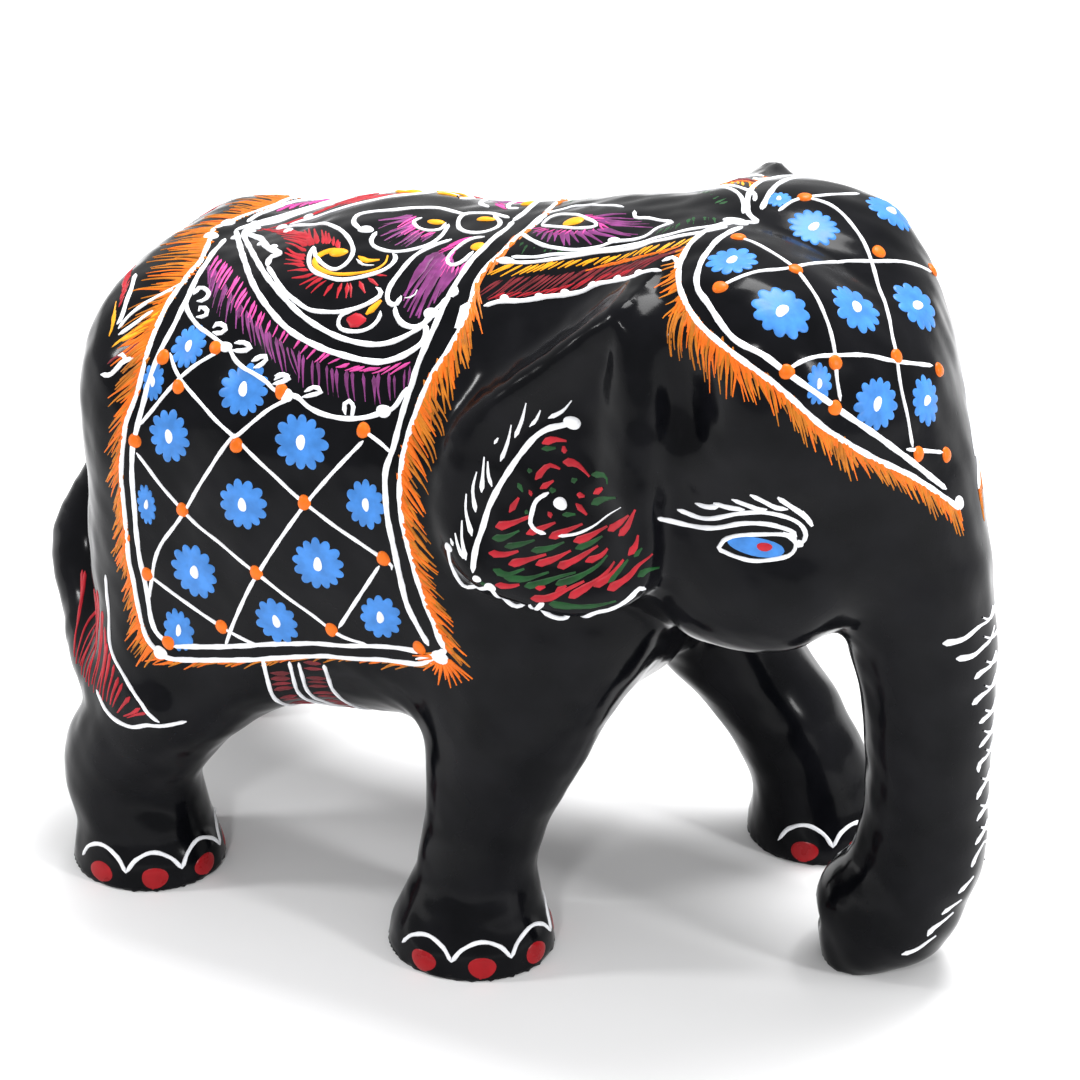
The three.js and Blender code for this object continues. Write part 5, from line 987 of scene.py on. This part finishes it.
# tail: crimson strokes edged in white
with Group("tail_tuft"):
    for l, w, t in TAIL_W:
        ST.add("W", np.array(l).reshape(-1, 3), w, 0.28, t)
    hatch("R", 20, 0.8, 0.2, 0.5, 0, TAIL_A, TAIL_B)

# ------------------------------------------------------------------- materials
def mat(name, base, rough, bump=0.15, scale=900.0, vary=0.06, coat=0.0, coat_rough=0.05, spec=0.22):
    m = bpy.data.materials.new(name)
    m.use_nodes = True
    nt = m.node_tree
    nt.nodes.clear()
    out = nt.nodes.new("ShaderNodeOutputMaterial")
    b = nt.nodes.new("ShaderNodeBsdfPrincipled")
    nt.links.new(b.outputs[0], out.inputs[0])
    b.inputs["Metallic"].default_value = 0.0
    b.inputs["Coat Weight"].default_value = coat
    b.inputs["Coat Roughness"].default_value = coat_rough
    b.inputs["Specular IOR Level"].default_value = spec
    tc = nt.nodes.new("ShaderNodeTexCoord")
    n1 = nt.nodes.new("ShaderNodeTexNoise")
    n1.inputs["Scale"].default_value = scale
    n1.inputs["Detail"].default_value = 3.0
    nt.links.new(tc.outputs["Object"], n1.inputs["Vector"])
    ramp = nt.nodes.new("ShaderNodeValToRGB")
    lo = [max(0, c * (1 - vary)) for c in base]
    hi = [min(1, c * (1 + vary)) for c in base]
    ramp.color_ramp.elements[0].color = (*lo, 1)
    ramp.color_ramp.elements[1].color = (*hi, 1)
    ramp.color_ramp.elements[0].position = 0.35
    ramp.color_ramp.elements[1].position = 0.65
    nt.links.new(n1.outputs["Fac"], ramp.inputs[0])
    nt.links.new(ramp.outputs[0], b.inputs["Base Color"])
    rr = nt.nodes.new("ShaderNodeMapRange")
    rr.inputs["To Min"].default_value = rough * 0.8
    rr.inputs["To Max"].default_value = rough * 1.25
    nt.links.new(n1.outputs["Fac"], rr.inputs["Value"])
    nt.links.new(rr.outputs[0], b.inputs["Roughness"])
    bp_ = nt.nodes.new("ShaderNodeBump")
    bp_.inputs["Strength"].default_value = bump
    bp_.inputs["Distance"].default_value = 0.0001
    nt.links.new(n1.outputs["Fac"], bp_.inputs["Height"])
    nt.links.new(bp_.outputs[0], b.inputs["Normal"])
    return m


def lacquer():
    m = bpy.data.materials.new("black lacquer")
    m.use_nodes = True
    nt = m.node_tree
    nt.nodes.clear()
    N, Lk = nt.nodes.new, nt.links.new
    out = N("ShaderNodeOutputMaterial")
    b = N("ShaderNodeBsdfPrincipled")
    Lk(b.outputs[0], out.inputs[0])
    b.inputs["Metallic"].default_value = 0.0
    b.inputs["Coat Weight"].default_value = 0.02
    b.inputs["Coat Roughness"].default_value = 0.04
    b.inputs["Specular IOR Level"].default_value = 0.08
    tc = N("ShaderNodeTexCoord")
    # wood grain telegraphing through the lacquer, along the length
    mp = N("ShaderNodeMapping")
    mp.inputs["Scale"].default_value = (0.16, 1.0, 1.0)
    Lk(tc.outputs["Object"], mp.inputs["Vector"])
    g = N("ShaderNodeTexNoise")
    g.inputs["Scale"].default_value = 900.0
    g.inputs["Detail"].default_value = 4.0
    Lk(mp.outputs[0], g.inputs["Vector"])
    o = N("ShaderNodeTexNoise")
    o.inputs["Scale"].default_value = 160.0
    o.inputs["Detail"].default_value = 3.0
    Lk(tc.outputs["Object"], o.inputs["Vector"])
    v = N("ShaderNodeTexVoronoi")
    v.inputs["Scale"].default_value = 420.0
    Lk(tc.outputs["Object"], v.inputs["Vector"])
    pit = N("ShaderNodeMapRange")
    pit.inputs["From Min"].default_value = 0.0
    pit.inputs["From Max"].default_value = 0.09
    pit.inputs["To Min"].default_value = 0.0
    pit.inputs["To Max"].default_value = 1.0
    Lk(v.outputs["Distance"], pit.inputs["Value"])
    ramp = N("ShaderNodeValToRGB")
    ramp.color_ramp.elements[0].color = (0.0022, 0.0024, 0.0032, 1)
    ramp.color_ramp.elements[1].color = (0.0045, 0.0046, 0.006, 1)
    ramp.color_ramp.elements[0].position = 0.36
    ramp.color_ramp.elements[1].position = 0.66
    Lk(o.outputs["Fac"], ramp.inputs[0])
    Lk(ramp.outputs[0], b.inputs["Base Color"])
    rr = N("ShaderNodeMapRange")
    rr.inputs["To Min"].default_value = 0.10
    rr.inputs["To Max"].default_value = 0.22
    Lk(o.outputs["Fac"], rr.inputs["Value"])
    Lk(rr.outputs[0], b.inputs["Roughness"])
    b1 = N("ShaderNodeBump")
    b1.inputs["Strength"].default_value = 0.10
    b1.inputs["Distance"].default_value = 0.0001
    Lk(g.outputs["Fac"], b1.inputs["Height"])
    b2 = N("ShaderNodeBump")
    b2.inputs["Strength"].default_value = 0.25
    b2.inputs["Distance"].default_value = 0.0002
    Lk(o.outputs["Fac"], b2.inputs["Height"])
    Lk(b1.outputs[0], b2.inputs["Normal"])
    b3 = N("ShaderNodeBump")
    b3.inputs["Strength"].default_value = 0.12
    b3.inputs["Distance"].default_value = 0.00015
    Lk(pit.outputs[0], b3.inputs["Height"])
    Lk(b2.outputs[0], b3.inputs["Normal"])
    Lk(b3.outputs[0], b.inputs["Normal"])
    return m


MATS = {
    "X": lacquer(),
    "W": mat("white paint", (0.80, 0.81, 0.84), 0.34, 0.3, 700, 0.05),
    "B": mat("blue paint", (0.045, 0.20, 0.56), 0.38, 0.35, 500, 0.16),
    "O": mat("orange paint", (0.70, 0.135, 0.004), 0.38, 0.3, 600, 0.12),
    "A": mat("ochre paint", (0.46, 0.14, 0.006), 0.42, 0.3, 600, 0.25),
    "K": mat("pink paint", (0.62, 0.06, 0.30), 0.38, 0.3, 600, 0.12),
    "P": mat("purple paint", (0.17, 0.027, 0.14), 0.42, 0.3, 500, 0.35),
    "R": mat("crimson paint", (0.38, 0.010, 0.02), 0.4, 0.3, 600, 0.18),
    "D": mat("dark red paint", (0.15, 0.012, 0.018), 0.42, 0.3, 500, 0.35),
    "Y": mat("yellow paint", (0.86, 0.36, 0.01), 0.36, 0.3, 600, 0.1),
    "G": mat("green paint", (0.006, 0.055, 0.012), 0.42, 0.3, 500, 0.3),
    "N": mat("nail paint", (0.30, 0.004, 0.008), 0.28, 0.25, 500, 0.12),
}

# --------------------------------------------------------------------- objects
ROOT = bpy.context.scene.collection


def mesh_object(name, V, F, mats, midx=None, smooth_=True):
    V = (np.asarray(V, float) - CENTRE) * MM
    tri = F[:, 2] == F[:, 3]
    lens = np.where(tri, 3, 4)
    loops = []
    flat = F.reshape(-1)
    keep = np.ones(len(flat), bool)
    keep[3::4][tri] = False
    flat = flat[keep]
    me = bpy.data.meshes.new(name)
    me.vertices.add(len(V))
    me.vertices.foreach_set("co", V.astype(np.float32).ravel())
    me.loops.add(len(flat))
    me.loops.foreach_set("vertex_index", flat.astype(np.int32))
    me.polygons.add(len(F))
    starts = np.concatenate([[0], np.cumsum(lens)[:-1]]).astype(np.int32)
    me.polygons.foreach_set("loop_start", starts)
    me.polygons.foreach_set("loop_total", lens.astype(np.int32))
    for m in mats:
        me.materials.append(m)
    if midx is not None:
        me.polygons.foreach_set("material_index", midx.astype(np.int32))
    me.polygons.foreach_set("use_smooth", np.full(len(F), smooth_))
    me.update(calc_edges=True)
    me.validate()
    o = bpy.data.objects.new(name, me)
    ROOT.objects.link(o)
    return o


V, F = body_mesh(STEP)
V = carve_marks(V)
body = mesh_object("elephant_wood", V, F, [MATS["X"]])
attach(body, "root")
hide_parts("carved_body")

for name in sorted(PIECES):
    cols = PIECES[name]
    if not cols:
        continue
    Vs, Fs, Ms, base = [], [], [], 0
    keys = sorted(cols)
    for i, c in enumerate(keys):
        v = np.concatenate(cols[c][0])
        q = np.concatenate(cols[c][1])
        Vs.append(v)
        Fs.append(q + base)
        Ms.append(np.full(len(q), i))
        base += len(v)
    o = mesh_object("painted_" + name, np.concatenate(Vs), np.concatenate(Fs), [MATS[c] for c in keys], np.concatenate(Ms))
    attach(o, "root")
    if name in NODES:
        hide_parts(name)

# ----------------------------------------------------------------------- stage
fm = bpy.data.materials.new("backdrop")
fm.use_nodes = True
fb = fm.node_tree.nodes["Principled BSDF"]
fb.inputs["Base Color"].default_value = (0.88, 0.88, 0.885, 1)
fb.inputs["Roughness"].default_value = 0.6
me = bpy.data.meshes.new("floor")
s = 3.0
me.from_pydata([(-s, -s, 0), (s, -s, 0), (s, s, 0), (-s, s, 0)], [], [(0, 1, 2, 3)])
me.materials.append(fm)
floor = bpy.data.objects.new("floor", me)
ROOT.objects.link(floor)

world = bpy.data.worlds.new("studio")
bpy.context.scene.world = world
world.use_nodes = True
bg = world.node_tree.nodes["Background"]
bg.inputs[0].default_value = (1, 1, 1, 1)
bg.inputs[1].default_value = 0.72


def softbox(name, loc, aim, sx, sy, watts, color=(1, 1, 1)):
    l = bpy.data.lights.new(name, "AREA")
    l.shape = "RECTANGLE"
    l.size, l.size_y = sx, sy
    l.energy = watts
    l.color = color
    o = bpy.data.objects.new(name, l)
    o.location = loc
    o.rotation_euler = (Vector(aim) - Vector(loc)).to_track_quat("-Z", "Y").to_euler()
    ROOT.objects.link(o)
    return o


softbox("overhead", (0.02, 0.34, 0.9), (0, 0, 0.03), 0.5, 0.4, 13)
softbox("front", (0.2, -1.05, 0.75), (0, 0, 0.05), 0.12, 0.09, 3)
softbox("key", (-0.95, -0.42, 0.62), (0, 0, 0.05), 0.12, 0.2, 5)
softbox("side", (0.85, -0.1, 0.42), (0.0, 0, 0.05), 0.1, 0.25, 3.5)

cam_d = bpy.data.cameras.new("camera")
cam_d.lens = 4520.0 / 1080.0 * 36.0
cam_d.sensor_width = 36.0
cam_d.clip_start = 0.05
cam_d.clip_end = 20
cam = bpy.data.objects.new("camera", cam_d)
ROOT.objects.link(cam)
az, el, D = math.radians(25.5), math.radians(28.0), 0.545
back = Vector((math.sin(az) * math.cos(el), -math.cos(az) * math.cos(el), math.sin(el)))
target = Vector((2.5 - CENTRE[0], 0 - CENTRE[1], 44.0)) * MM
cam.location = target + back * D
cam.rotation_euler = (-back).to_track_quat("-Z", "Y").to_euler()
bpy.context.scene.camera = cam
bpy.context.scene.view_settings.view_transform = "Standard"
bpy.context.scene.view_settings.look = "None"
